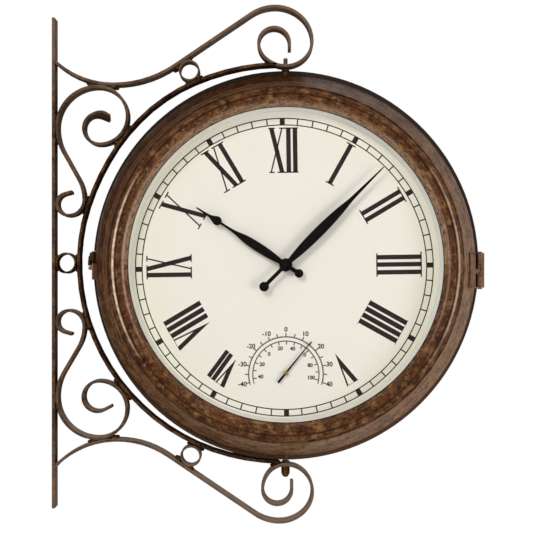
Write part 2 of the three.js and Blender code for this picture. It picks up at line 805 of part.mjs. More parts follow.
function movementSolid(side) {
  const half = movement.width / 2;
  const { corner } = movement;
  const outline = [];
  for (const [sx, sz, start] of [[1, 1, 0], [-1, 1, 1], [-1, -1, 2], [1, -1, 3]]) {
    for (let i = 0; i <= cornerSteps; i += 1) {
      const angle = quarterTurn * (start + i / cornerSteps);
      const turn = [Math.cos(angle), Math.sin(angle)];
      outline.push([sx * (half - corner) + corner * turn[0], sz * (half - corner) + corner * turn[1]]);
    }
  }
  const faces = [side * movementBack, side * movementFront].sort((a, b) => a - b);
  const body = plate(outline, ...faces);
  const neckEnd = dial.depth + movement.neckLength;
  const neckStart = movementFront - shell.wall;
  const neck = rod('y', side * neckStart, side * neckEnd, movement.neckDiameter, [0, 0]);
  const backCut = side * (movementBack - cutOverrun);
  const tubeRoom = rod(
    'y',
    side * (movementFront - settingKnob.recess),
    side * (neckEnd + cutOverrun),
    hourTube.diameter + 2 * runGap,
    [0, 0],
  );
  const arborRoom = rod('y', backCut, side * neckEnd, arbor.diameter + 2 * runGap, [0, 0]);
  const knobRoom = rod(
    'y',
    backCut,
    side * (movementBack + settingKnob.recess),
    settingKnob.diameter + 4 * seatGap,
    [0, 0],
  );
  const bayHalf = battery.length / 2 + battery.tipLength + seatGap;
  const bayWide = battery.diameter / 2 + seatGap;
  const bayFaces = [backCut, side * (movementFront - battery.wall)].sort((a, b) => a - b);
  const bay = box(
    [-bayHalf, bayFaces[0], -batteryDrop - bayWide],
    [bayHalf, bayFaces[1], -batteryDrop + bayWide],
  );
  return without(body.add(neck), [tubeRoom, arborRoom, knobRoom, bay]);
}

function batterySolid(side) {
  const depth = side * (movementFront - battery.wall - seatGap - battery.diameter / 2);
  const half = battery.length / 2;
  const centre = [depth, -batteryDrop];
  const can = rod('x', -half, half, battery.diameter, centre, flats.fine);
  const tip = rod('x', half - shell.wall, half + battery.tipLength, battery.tipDiameter, centre, flats.thin);
  return can.add(tip);
}

function neckNutSolid(side) {
  const face = dial.depth + seatGap;
  const faces = [side * face, side * (face + neckNut.thickness)];
  const body = hexagon('y', ...faces, neckNut.acrossFlats, [0, 0]);
  const ends = [side * dial.depth, side * (face + neckNut.thickness + cutOverrun)];
  return body.subtract(rod('y', ...ends, movement.neckDiameter + 2 * seatGap, [0, 0]));
}

// The outline of a blade in the X Z plane that points up, from its widths at distances from its hub
function bladeOutline(widths) {
  const right = widths.map(([distance, width]) => [width / 2, distance]);
  return right.concat(right.map(([x, z]) => [-x, z]).reverse());
}

function handWidths(hand, length) {
  const leaf = hand.leafShares.map(([along, across]) => [along * length, across * hand.leafWidth]);
  return [[-hand.ball, hand.stemWidth], [0, hand.stemWidth], ...leaf];
}

function handSolid(hand, side, height, boreDiameter, tubeStart) {
  const faces = [side * (dial.depth + height), side * (dial.depth + height + handStack.thickness)];
  faces.sort((a, b) => a - b);
  const discs = [
    rod('y', ...faces, hand.hubDiameter, [0, 0], flats.fine),
    rod('y', ...faces, hand.ballDiameter, [0, -hand.ball]),
  ];
  const length = openingRadius - hand.edgeGap;
  if (hand.bulbShare) discs.push(rod('y', ...faces, hand.bulbDiameter, [0, hand.bulbShare * length]));
  const blade = plate(bladeOutline(handWidths(hand, length)), ...faces);
  const start = side * Math.min(tubeStart ?? Infinity, dial.depth + height);
  const stop = side * (dial.depth + height + handStack.thickness);
  if (tubeStart) discs.push(rod('y', start, stop, hourTube.diameter, [0, 0]));
  const bore = rod('y', start - side * cutOverrun, stop + side * cutOverrun, boreDiameter, [0, 0]);
  const upright = joined([blade, ...discs]).subtract(bore);
  return upright.rotate([0, (-side * hand.angle) / degree, 0]);
}

function handParts(side) {
  const hourStart = movementFront - settingKnob.recess + seatGap;
  const hour = handSolid(hourHand, side, handStack.hourHeight, hourTube.bore, hourStart);
  const minuteTop = dial.depth + handStack.minuteHeight + handStack.thickness;
  const minuteBore = arbor.diameter + 2 * seatGap;
  const minute = handSolid(minuteHand, side, handStack.minuteHeight, minuteBore);
  const knobOuter = movementBack + settingKnob.recess - seatGap;
  const knobInner = knobOuter - settingKnob.thickness;
  const knobBore = arbor.diameter + 2 * seatGap;
  const knobCut = [side * (knobInner - cutOverrun), side * (knobOuter + cutOverrun)];
  const knob = rod('y', side * knobInner, side * knobOuter, settingKnob.diameter, [0, 0], flats.fine)
    .subtract(rod('y', ...knobCut, knobBore, [0, 0]));
  const capFace = minuteTop + seatGap;
  const capBore = arbor.diameter + 2 * seatGap;
  const capMiddle = capFace + handCap.height / 2;
  const capDome = domeArc(handCap.diameter / 2, handCap.height / 2)
    .map(([radius, rise]) => [radius, side * (capMiddle + rise)]);
  const cap = turned([[0, side * capFace], [handCap.diameter / 2, side * capFace], ...capDome], flats.fine)
    .subtract(rod('y', side * (capFace - cutOverrun), side * capMiddle, capBore, [0, 0]));
  const shaft = rod('y', side * knobInner, side * (capMiddle - seatGap), arbor.diameter, [0, 0]);
  return { hour, minute, knob, cap, shaft };
}

// Thermometer: a cup behind the dial, a wound strip in it and a pointer before the dial
const cupFront = dial.depth - dial.thickness - seatGap;

function cupSolid(side) {
  const back = cupFront - thermometer.cupDepth;
  const centre = [0, -thermometerDrop];
  const body = rod('y', side * back, side * cupFront, thermometer.cupDiameter, centre, flats.wide);
  const innerEnds = [side * (back + thermometer.cupWall), side * (cupFront + cutOverrun)];
  const innerDiameter = thermometer.cupDiameter - 2 * thermometer.cupWall;
  return body.subtract(rod('y', ...innerEnds, innerDiameter, centre, flats.wide));
}

function coilSolid(side) {
  const { coilTurns, coilOuterRadius, coilInnerRadius, coilStrip, coilHeight } = thermometer;
  const steps = flats.thin * coilTurns;
  const run = (offset) => Array.from({ length: steps + 1 }, (_, i) => {
    const angle = (2 * Math.PI * coilTurns * i) / steps;
    const radius = coilInnerRadius + ((coilOuterRadius - coilInnerRadius) * i) / steps + offset;
    return [radius * Math.cos(angle), radius * Math.sin(angle) - thermometerDrop];
  });
  const outline = run(-coilStrip / 2).concat(run(coilStrip / 2).reverse());
  const start = cupFront - thermometer.cupDepth + thermometer.cupWall + seatGap;
  const faces = [side * start, side * (start + coilHeight)].sort((a, b) => a - b);
  return plate(outline, ...faces);
}

function pointerSolid(side) {
  const t = thermometer;
  const base = dial.depth + t.pointerHeight;
  const faces = [side * base, side * (base + t.pointerThickness)].sort((a, b) => a - b);
  const widths = [
    [-t.tail, t.tailWidth],
    [0, t.tailWidth],
    [t.hubDiameter, t.pointerWidth],
    [t.tip, t.tipWidth],
  ];
  const hubFaces = [side * (base - t.hubHeight / 2), side * (base + t.hubHeight)];
  const hub = rod('y', ...hubFaces, t.hubDiameter, [0, 0], flats.fine);
  const spindleStart = cupFront - t.cupDepth + t.cupWall + seatGap;
  const spindle = rod('y', side * spindleStart, side * base, t.spindleDiameter, [0, 0], flats.thin);
  const upright = joined([plate(bladeOutline(widths), ...faces), hub, spindle]);
  return upright.rotate([0, (-side * t.pointerAngle) / degree, 0]).translate([0, 0, -thermometerDrop]);
}

// Hinge: each leaf lies on its shell's sloping side and runs straight into the barrel
function leafSolid(side) {
  const run = new THREE.Vector2(slope.endInset - slope.startInset, slope.endDepth - slope.startDepth);
  const length = run.length();
  const inward = [-run.x / length, (side * run.y) / length];
  const outward = [run.y / length, (side * run.x) / length];
  const surfaceStart = [caseRadius - slope.startInset, side * slope.startDepth];
  const offset = seatGap + hinge.leafThickness / 2;
  const place = (along, across) => [
    surfaceStart[0] + inward[0] * along + outward[0] * (offset + across),
    surfaceStart[1] + inward[1] * along + outward[1] * (offset + across),
  ];
  const half = hinge.leafThickness / 2;
  const toBarrel = -slope.startDepth;
  const outline = [
    place(toBarrel, -half),
    place(hinge.leafLength, -half),
    place(hinge.leafLength, half),
    place(toBarrel, half),
  ];
  const top = hinge.height / 2;
  const leaf = slab(outline, -top, top);
  const knuckle = (from, to) => rod('z', from, to, hinge.barrelDiameter, [hingeX, 0], flats.wide);
  const third = top / 3;
  const gap = hinge.knuckleGap / 2;
  const own = side < 0 ? [[-third + gap, third - gap]] : [[-top, -third - gap], [third + gap, top]];
  const others = side < 0 ? [[-top, -third + gap], [third - gap, top]] : [[-third - gap, third + gap]];
  const roomDiameter = hinge.barrelDiameter + 2 * seatGap;
  const clearances = others.map(([from, to]) => rod(
    'z',
    from - (from === -top ? cutOverrun : 0),
    to + (to === top ? cutOverrun : 0),
    roomDiameter,
    [hingeX, 0],
    flats.wide,
  ));
  const boreDiameter = hinge.pinDiameter + 2 * runGap;
  const bore = rod('z', -top - cutOverrun, top + cutOverrun, boreDiameter, [hingeX, 0], flats.fine);
  const trimmed = without(leaf, [...clearances, halfSpace(side)]);
  const whole = trimmed.add(joined(own.map(([from, to]) => knuckle(from, to)))).subtract(bore);
  return whole.translate([0, 0, -hinge.drop]);
}

// What lies past the seam on the other half's side
function halfSpace(side) {
  const low = side < 0 ? 0 : -caseDepth;
  return box([0, low, -caseRadius], [caseDiameter, low + caseDepth, caseRadius]);
}

function hingePinSolid() {
  const top = hinge.height / 2;
  const reach = top + seatGap + hinge.pinHead / 2;
  const shaft = rod('z', -reach, reach, hinge.pinDiameter, [hingeX, 0], flats.fine);
  const heads = [1, -1].map((end) => rod(
    'z',
    end * (top + seatGap),
    end * (top + hinge.pinHead + seatGap),
    hinge.pinHeadDiameter,
    [hingeX, 0],
    flats.fine,
  ));
  return joined([shaft, ...heads]).translate([0, 0, -hinge.drop]);
}

// Latch: a swinging arm on the rear shell lies on the ball stud of a keeper on the front shell
const armInner = caseRadius + latch.rimPass;
const armOuter = armInner + latch.leverThickness;

function sideSurfaceReach(depth) {
  const run = (slope.endInset - slope.startInset) / (slope.endDepth - slope.startDepth);
  return caseRadius - slope.startInset - run * (depth - slope.startDepth);
}

function latchBaseSolid() {
  const half = latch.baseWidth / 2;
  const z = latch.studRise;
  const u = latchSide;
  const foot = (depth) => u * (sideSurfaceReach(depth) + seatGap);
  const face = u * (armInner - seatGap);
  const outline = [
    [foot(latch.baseStart), latch.baseStart],
    [face, latch.baseStart],
    [face, latch.baseEnd - shell.flange],
    [foot(latch.baseEnd) + u * shell.wall, latch.baseEnd],
    [foot(latch.baseEnd), latch.baseEnd],
  ];
  const body = slab(outline, z - half, z + half);
  const centre = [latch.studDepth, z];
  const studEnds = [u * (armInner - shell.wall), u * (armOuter + latch.rivetHead / 2)];
  const stud = rod('x', ...studEnds, latch.rivetDiameter, centre, flats.fine);
  const headEnds = [u * (armOuter + runGap), u * (armOuter + runGap + latch.rivetHead)];
  const head = rod('x', ...headEnds, latch.rivetHeadDiameter, centre, flats.fine);
  return joined([body, stud, head]);
}

function latchLeverSolid() {
  const u = latchSide;
  const z = latch.studRise;
  const ends = [u * armInner, u * armOuter];
  const centre = [latch.studDepth, z];
  const head = rod('x', ...ends, latch.headDiameter, centre, flats.fine);
  const low = ballTop();
  const armLow = [Math.min(...ends), latch.studDepth - latch.armReach, low];
  const armHigh = [Math.max(...ends), latch.studDepth, low + latch.armWidth];
  const boreEnds = [ends[0] - u * cutOverrun, ends[1] + u * cutOverrun];
  const bore = rod('x', ...boreEnds, latch.rivetDiameter + 2 * runGap, centre, flats.fine);
  return head.add(box(armLow, armHigh)).subtract(bore);
}

function ballTop() {
  return -latch.ballDrop + latch.ballDiameter / 2 + seatGap;
}

function latchKeeperSolid() {
  const u = latchSide;
  const foot = (depth) => u * (sideSurfaceReach(depth) + seatGap);
  const face = u * (caseRadius - latch.keeperInset);
  const outline = [
    [foot(latch.keeperStart), -latch.keeperStart],
    [face, -latch.keeperStart],
    [face, -latch.keeperDepth - latch.neckDiameter],
    [foot(latch.keeperEnd) + u * shell.wall, -latch.keeperEnd],
    [foot(latch.keeperEnd), -latch.keeperEnd],
  ];
  const block = slab(outline, -latch.strapDrop, -latch.ballDrop + latch.keeperWidth / 2 - seatGap);
  const ballReach = caseRadius + latch.ballReach;
  const neckEnds = [u * (caseRadius - 2 * latch.keeperInset), u * ballReach];
  const neck = rod('x', ...neckEnds, latch.neckDiameter, [-latch.keeperDepth, -latch.ballDrop]);
  const ball = new THREE.SphereGeometry(latch.ballDiameter / 2, flats.thin, flats.thin / 2)
    .translate(u * ballReach, -latch.keeperDepth, -latch.ballDrop);
  return joined([block, neck, solidOf(ball)]);
}

// Assembly

const clock = new THREE.Group();
const caseGroup = new THREE.Group();
caseGroup.position.set(caseX, 0, -caseDrop);
clock.add(caseGroup);

function place(parent, name, solid, finish) {
  const material = new THREE.MeshStandardMaterial(finish);
  material.name = name;
  const mesh = new THREE.Mesh(geometryOf(solid), material);
  mesh.name = name;
  parent.add(mesh);
  return mesh;
}

const upper = loopScroll(upperLoop, 1);
const lower = loopScroll(lowerLoop, -1);
place(clock, 'wall_bar', wallBarSolid(), paint.bracket);
place(clock, 'hoop', bentHoop(), paint.bracket);
place(clock, 'upper_scroll', upper.solid, paint.bracket);
place(clock, 'lower_scroll', lower.solid, paint.bracket);
place(clock, 'upper_heart_scroll', heartScroll(upperHeart, 1), paint.bracket);
place(clock, 'lower_heart_scroll', heartScroll(lowerHeart, -1), paint.bracket);
place(clock, 'upper_ring', braceRing(upper.straightStart, 1), paint.bracket);
place(clock, 'middle_ring', ringAt(barFace + seatGap + ringDiameter / 2, 0), paint.bracket);
place(clock, 'lower_ring', braceRing(lower.straightStart, -1), paint.bracket);

place(caseGroup, 'left_seam_gasket', gasketSolid(-1), paint.rubber);
place(caseGroup, 'right_seam_gasket', gasketSolid(1), paint.rubber);
place(caseGroup, 'top_pivot_block', pivotBlockSolid(1), paint.steel);
place(caseGroup, 'bottom_pivot_block', pivotBlockSolid(-1), paint.steel);
place(caseGroup, 'top_pivot_pin', pivotPinSolid(1), paint.bracket);
place(caseGroup, 'bottom_pivot_pin', pivotPinSolid(-1), paint.bracket);
place(caseGroup, 'top_spacer', spacerSolid(1), paint.bracket);
place(caseGroup, 'bottom_spacer', spacerSolid(-1), paint.bracket);
place(caseGroup, 'bottom_cap_nut', capNutSolid(), paint.bracket);
place(caseGroup, 'rear_hinge_leaf', leafSolid(1), paint.rust);
place(caseGroup, 'front_hinge_leaf', leafSolid(-1), paint.rust);
place(caseGroup, 'hinge_pin', hingePinSolid(), paint.rust);
place(caseGroup, 'latch_base', latchBaseSolid(), paint.bracket);
place(caseGroup, 'latch_lever', latchLeverSolid(), paint.bracket);
place(caseGroup, 'latch_keeper', latchKeeperSolid(), paint.bracket);

for (const [name, side] of [['front', -1], ['rear', 1]]) {
  const hands = handParts(side);
  place(caseGroup, `${name}_shell`, shellSolid(side), paint.rust);
  place(caseGroup, `${name}_glass`, glassSolid(side), paint.glass);
  place(caseGroup, `${name}_dial_surround`, surroundSolid(side), paint.cream);
  place(caseGroup, `${name}_dial`, dialSolid(side), paint.paper);
  place(caseGroup, `${name}_dial_retainer`, retainerSolid(side), paint.steel);
  place(caseGroup, `${name}_movement`, movementSolid(side), paint.plastic);
  place(caseGroup, `${name}_movement_nut`, neckNutSolid(side), paint.brass);
  place(caseGroup, `${name}_battery`, batterySolid(side), paint.cell);
  place(caseGroup, `${name}_hour_hand`, hands.hour, paint.black);
  place(caseGroup, `${name}_minute_hand`, hands.minute, paint.black);
  place(caseGroup, `${name}_minute_arbor`, hands.shaft, paint.steel);
  place(caseGroup, `${name}_hand_cap`, hands.cap, paint.black);
  place(caseGroup, `${name}_setting_knob`, hands.knob, paint.plastic);
  place(caseGroup, `${name}_thermometer_cup`, cupSolid(side), paint.steel);
  place(caseGroup, `${name}_thermometer_coil`, coilSolid(side), paint.brass);
  place(caseGroup, `${name}_thermometer_pointer`, pointerSolid(side), paint.black);
}

export default clock;
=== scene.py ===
# %% [markdown]
# # Double-sided station clock on a scrolled wall bracket
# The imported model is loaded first. It fixes where every piece sits and how it moves, so this lesson only
# dresses it: each piece that shows is modelled again with finer edges, and each surface gets its finish.

from math import atan2, ceil, copysign, cos, degrees, hypot, pi, radians, sin, sqrt

import bmesh
import bpy
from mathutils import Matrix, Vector


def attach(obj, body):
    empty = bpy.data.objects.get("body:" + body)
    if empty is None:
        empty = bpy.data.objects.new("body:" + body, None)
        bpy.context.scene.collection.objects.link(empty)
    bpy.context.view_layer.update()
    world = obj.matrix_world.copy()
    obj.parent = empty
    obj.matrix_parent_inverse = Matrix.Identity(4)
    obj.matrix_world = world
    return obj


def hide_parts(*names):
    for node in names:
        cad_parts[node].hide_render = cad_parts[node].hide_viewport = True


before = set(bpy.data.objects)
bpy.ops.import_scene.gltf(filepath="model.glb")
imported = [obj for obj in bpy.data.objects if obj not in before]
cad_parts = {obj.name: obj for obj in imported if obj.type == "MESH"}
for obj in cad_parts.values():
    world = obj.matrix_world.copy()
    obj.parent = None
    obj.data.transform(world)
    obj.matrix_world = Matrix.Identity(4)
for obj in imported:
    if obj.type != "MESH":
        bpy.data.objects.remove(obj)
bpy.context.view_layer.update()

# %% [markdown]
# Workshop drawings give millimetres and Blender works in metres, so one factor turns every written size.
# The clock case is round about an axis that runs from the front dial to the rear one. Its middle is named
# once, because nearly every piece of the case is placed from it.

# %% Sizes that pieces share
MM = 0.001
CASE_X, CASE_Z = 227.5, -2.2
STRIP_THICK, STRIP_WIDE, STRIP_CORNER = 3.0, 25.0, 0.55
DIAL_DEPTH = 22.0
FRONT, REAR = -1, 1
MERGE = 0.002
SMOOTH = radians(35)
UP = pi / 2


def place(x, y, z):
    """A point given in millimetres, as Blender's metres."""
    return Vector((x * MM, y * MM, z * MM))


def case_place(x, y, z):
    """A point in millimetres from the middle of the case."""
    return place(CASE_X + x, y, CASE_Z + z)


HUB = case_place(0, 0, 0)
DIAL_AXIS, UPRIGHT = (0, 1, 0), (0, 0, 1)

# %% [markdown]
# The photograph was taken from straight in front, a little left of the dial's middle. A long lens from
# 1.7 m gives the same slight view into the curls. The lens is shifted up instead of tilted, because a shift
# keeps the wall bar upright.

# %% Camera
CAMERA_X, CAMERA_AWAY, CAMERA_Z = 208.9, 1700, -26.3
camera_data = bpy.data.cameras.new("camera")
camera_data.lens = 117.2
camera_data.sensor_width = 36
camera_data.shift_y = 0.044
camera = bpy.data.objects.new("camera", camera_data)
bpy.context.scene.collection.objects.link(camera)
camera.location = place(CAMERA_X, -CAMERA_AWAY, CAMERA_Z)
camera.rotation_euler = (UP, 0, 0)
bpy.context.scene.camera = camera
bpy.context.scene.view_settings.view_transform = "Standard"
print("camera", tuple(camera.location), "lens", camera_data.lens)

# %% [markdown]
# A few habits repeat on every piece, so they become small helpers: nothing stays selected before a new
# primitive, faces end up pointing outwards, and a finished piece has its object at the origin.

# %% Helpers for every piece


def object_mode():
    bpy.ops.object.mode_set(mode="OBJECT")


def pull(step):
    bpy.ops.mesh.extrude_region_move(TRANSFORM_OT_translate={"value": step})


def settle():
    bpy.ops.object.transform_apply(location=True, rotation=True, scale=True)


def in_scene(obj):
    bpy.context.scene.collection.objects.link(obj)


def nothing_selected():
    if bpy.context.object and bpy.context.object.mode != "OBJECT":
        object_mode()
    bpy.ops.object.select_all(action="DESELECT")


def only(obj):
    nothing_selected()
    obj.select_set(True)
    bpy.context.view_layer.objects.active = obj


def edit_all(mode="VERT"):
    bpy.ops.object.mode_set(mode="EDIT")
    bpy.ops.mesh.select_mode(type=mode)
    bpy.ops.mesh.select_all(action="SELECT")


def named(name):
    obj = bpy.context.object
    obj.name = obj.data.name = name
    return obj


def finished(obj):
    """Merges doubles, turns faces outwards, settles the object at the origin and smooths it."""
    only(obj)
    settle()
    edit_all()
    bpy.ops.mesh.remove_doubles(threshold=MERGE * MM)
    bpy.ops.mesh.normals_make_consistent(inside=False)
    object_mode()
    bpy.ops.object.shade_smooth_by_angle(angle=SMOOTH)
    return obj


def applied(obj, kind, **settings):
    """Adds a modifier, sets it and applies it."""
    only(obj)
    modifier = obj.modifiers.new(kind.lower(), kind)
    for key, value in settings.items():
        setattr(modifier, key, value)
    bpy.ops.object.modifier_apply(modifier=modifier.name)
    return obj


def rounded(obj, width, angle=30):
    return applied(obj, "BEVEL", width=width * MM, segments=2, limit_method="ANGLE", angle_limit=radians(angle))


def cut_away(obj, cutter):
    """Takes a cutter's room out of a piece and throws the cutter away."""
    applied(obj, "BOOLEAN", operation="DIFFERENCE", solver="EXACT", object=cutter)
    bpy.data.objects.remove(cutter)
    return obj


def joined(name, pieces):
    """Makes one piece of several."""
    nothing_selected()
    for piece in pieces:
        piece.select_set(True)
    bpy.context.view_layer.objects.active = pieces[0]
    bpy.ops.object.join()
    return named(name)


def block(name, low, high):
    """A squared block between two corners."""
    nothing_selected()
    bpy.ops.mesh.primitive_cube_add(size=1, location=(Vector(low) + Vector(high)) / 2)
    obj = named(name)
    obj.scale = Vector(high) - Vector(low)
    settle()
    return obj


def rod(name, radius, length, centre, lying=(0, 0, 0), sides=32):
    """A round bar, upright unless it is laid down."""
    nothing_selected()
    bpy.ops.mesh.primitive_cylinder_add(
        vertices=sides, radius=radius * MM, depth=length * MM, location=centre, rotation=lying
    )
    return named(name)


def drawn(name, points, closed=False):
    """A wire drawn from point to point: one vertex is extruded along the outline."""
    nothing_selected()
    bpy.ops.mesh.primitive_plane_add(size=MM, location=points[0])
    obj = named(name)
    edit_all()
    bpy.ops.mesh.merge(type="CENTER")
    for here, there in zip(points, points[1:] + points[:1] if closed else points[1:]):
        pull(there - here)
    bpy.ops.mesh.select_all(action="SELECT")
    if closed:
        bpy.ops.mesh.remove_doubles(threshold=MERGE * MM)
    return obj


def turned(name, outline, centre, axis, steps=64):
    """A turned piece: a closed outline of (radius, along) spun round an axis."""
    along = Vector(axis)
    points = [centre + place(r, 0, 0) + along * a * MM for r, a in outline]
    obj = drawn(name, points, closed=outline[0][0] > 0 or outline[-1][0] > 0)
    bpy.ops.mesh.spin(steps=steps, angle=2 * pi, center=centre, axis=axis)
    object_mode()
    return finished(obj)


def plate(name, outline, depth, thickness, edge=0.0):
    """A flat piece on the front side, cut from its outline of (across, up) from the case's middle."""
    drawn(name, [case_place(x, -depth, z) for x, z in outline], closed=True)
    bpy.ops.mesh.edge_face_add()
    pull((0, -thickness * MM, 0))
    object_mode()
    obj = finished(bpy.context.object)
    return rounded(obj, edge) if edge else obj


def dressed(obj, finish, body, *nodes, slot=None):
    """Gives a piece its finish, in a material slot of its own, and its body, and lets it stand for its solids. The
    slot argument is not used.
    """
    obj.data.materials.clear()
    obj.data.materials.append(finish)
    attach(obj, body)
    if nodes:
        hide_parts(*nodes)
    return obj


# %% [markdown]
# Paints and metals are mixed from noise on the object's own coordinates, so that the marks stay on the
# metal when a part moves. One node tree is in hand at a time, and the helpers below only save writing.

# %% Helpers for finishes
tree = None


def in_hand(owner):
    """Takes up the node tree of a material or of the world."""
    global tree
    owner.use_nodes = True
    tree = owner.node_tree
    return owner


def colour(red, green, blue):
    """A colour as a paint chart gives it, from 0 to 255, as Blender's linear light."""
    shares = [value / 255 for value in (red, green, blue)]
    return (*(share / 12.92 if share <= 0.04045 else ((share + 0.055) / 1.055) ** 2.4 for share in shares), 1)


def plugged(socket, value):
    """Links a socket to another node, or sets it to a number."""
    if isinstance(value, bpy.types.NodeSocket):
        tree.links.new(value, socket)
    else:
        socket.default_value = value


def fed(socket, value):
    plugged(tree.nodes["Principled BSDF"].inputs[socket], value)


def new_finish(name, base, roughness=0.5, metallic=0.0, shine=0.5):
    material = in_hand(bpy.data.materials.new(name))
    fed("Base Color", base)
    fed("Roughness", roughness)
    fed("Metallic", metallic)
    fed("Specular IOR Level", shine)
    return material


def node(kind, *values, **named_values):
    """A node with its first sockets set in order, and others by name."""
    made = tree.nodes.new("ShaderNode" + kind)
    for key, value in named_values.items():
        if key in ("operation", "data_type"):
            setattr(made, key, value)
        else:
            plugged(made.inputs[key.title()], value)
    for socket, value in zip(made.inputs, values):
        plugged(socket, value)
    return made


def maths(how, *values):
    return node("Math", *values, operation=how).outputs[0]


def times(first, *others):
    for other in others:
        first = maths("MULTIPLY", first, other)
    return first


def vector_maths(how, *values, out=0, **named_values):
    return node("VectorMath", *values, operation=how, **named_values).outputs[out]


def noise(where, scale, detail=4.0, roughness=0.6):
    return node("TexNoise", vector=where, scale=scale, detail=detail, roughness=roughness).outputs["Fac"]


def ramp(share, *stops):
    made = node("ValToRGB", share)
    while len(made.color_ramp.elements) < len(stops):
        made.color_ramp.elements.new(0.5)
    for element, (position, value) in zip(made.color_ramp.elements, stops):
        element.position = position
        element.color = (value, value, value, 1)
    return made.outputs["Color"]


def stepped(length, reach, *stops):
    """A ramp over a length in millimetres, from 0 to its reach, with the stops in millimetres too."""
    return ramp(times(length, 1 / reach), *((stop / reach, value) for stop, value in stops))


def blended(share, first, second):
    made = node("Mix", data_type="RGBA")
    for i, value in ((0, share), (6, first), (7, second)):
        plugged(made.inputs[i], value)
    return made.outputs[2]


def tinted(share, tint):
    """Lays a tint over the colour that the finish in hand already has."""
    under = tree.nodes["Principled BSDF"].inputs["Base Color"].links[0].from_socket
    fed("Base Color", blended(share, under, tint))


def bumped(height, distance, strength=0.3):
    fed("Normal", node("Bump", height=height, distance=distance * MM, strength=strength).outputs["Normal"])


def object_place():
    return node("TexCoord").outputs["Object"]


def millimetres(where):
    """The three coordinates of a place, in millimetres."""
    return node("SeparateXYZ", vector_maths("SCALE", where, scale=1 / MM)).outputs


# %% [markdown]
# The case is painted sheet steel: a rust brown that was dabbed on and then wiped round the ring, so dark
# flecks are drawn out along the circle. A plain noise would not follow the ring, so the noise is fed with
# a direction round the dial and a distance from its middle.

# %% Rust-brown case finish
CASE_REACH = 200
BAR_REACH = 500
HINGE_Z, STRAP_Z = -7.1, -8.15
# painted shade for the case's grooves
GROOVE_SHADE = colour(26, 14, 10)


def round_the_dial():
    """The direction from the dial's middle, and the distance from its axis in millimetres."""
    flat = vector_maths("MULTIPLY", vector_maths("SUBTRACT", object_place(), HUB), (1, 0, 1))
    return vector_maths("NORMALIZE", flat), times(vector_maths("LENGTH", flat, out="Value"), 1 / MM)


def toward(way, x, z):
    """How far a direction points towards (x, z), from -1 to 1."""
    return vector_maths("DOT_PRODUCT", way, (x, 0, z), out="Value")


def drawn_out(way, far, along, across):
    """Coordinates that run slowly round the ring and fast across it."""
    lift = node("CombineXYZ", 0.0, times(far, across)).outputs[0]
    return vector_maths("ADD", vector_maths("SCALE", way, scale=along), lift)


def on_ring(far, radius, half, soft):
    """1 on a ring of the case, fading to 0 beside it."""
    off = maths("ABSOLUTE", maths("SUBTRACT", far, radius))
    return stepped(off, half + soft, (half, 1.0), (half + soft, 0.0))


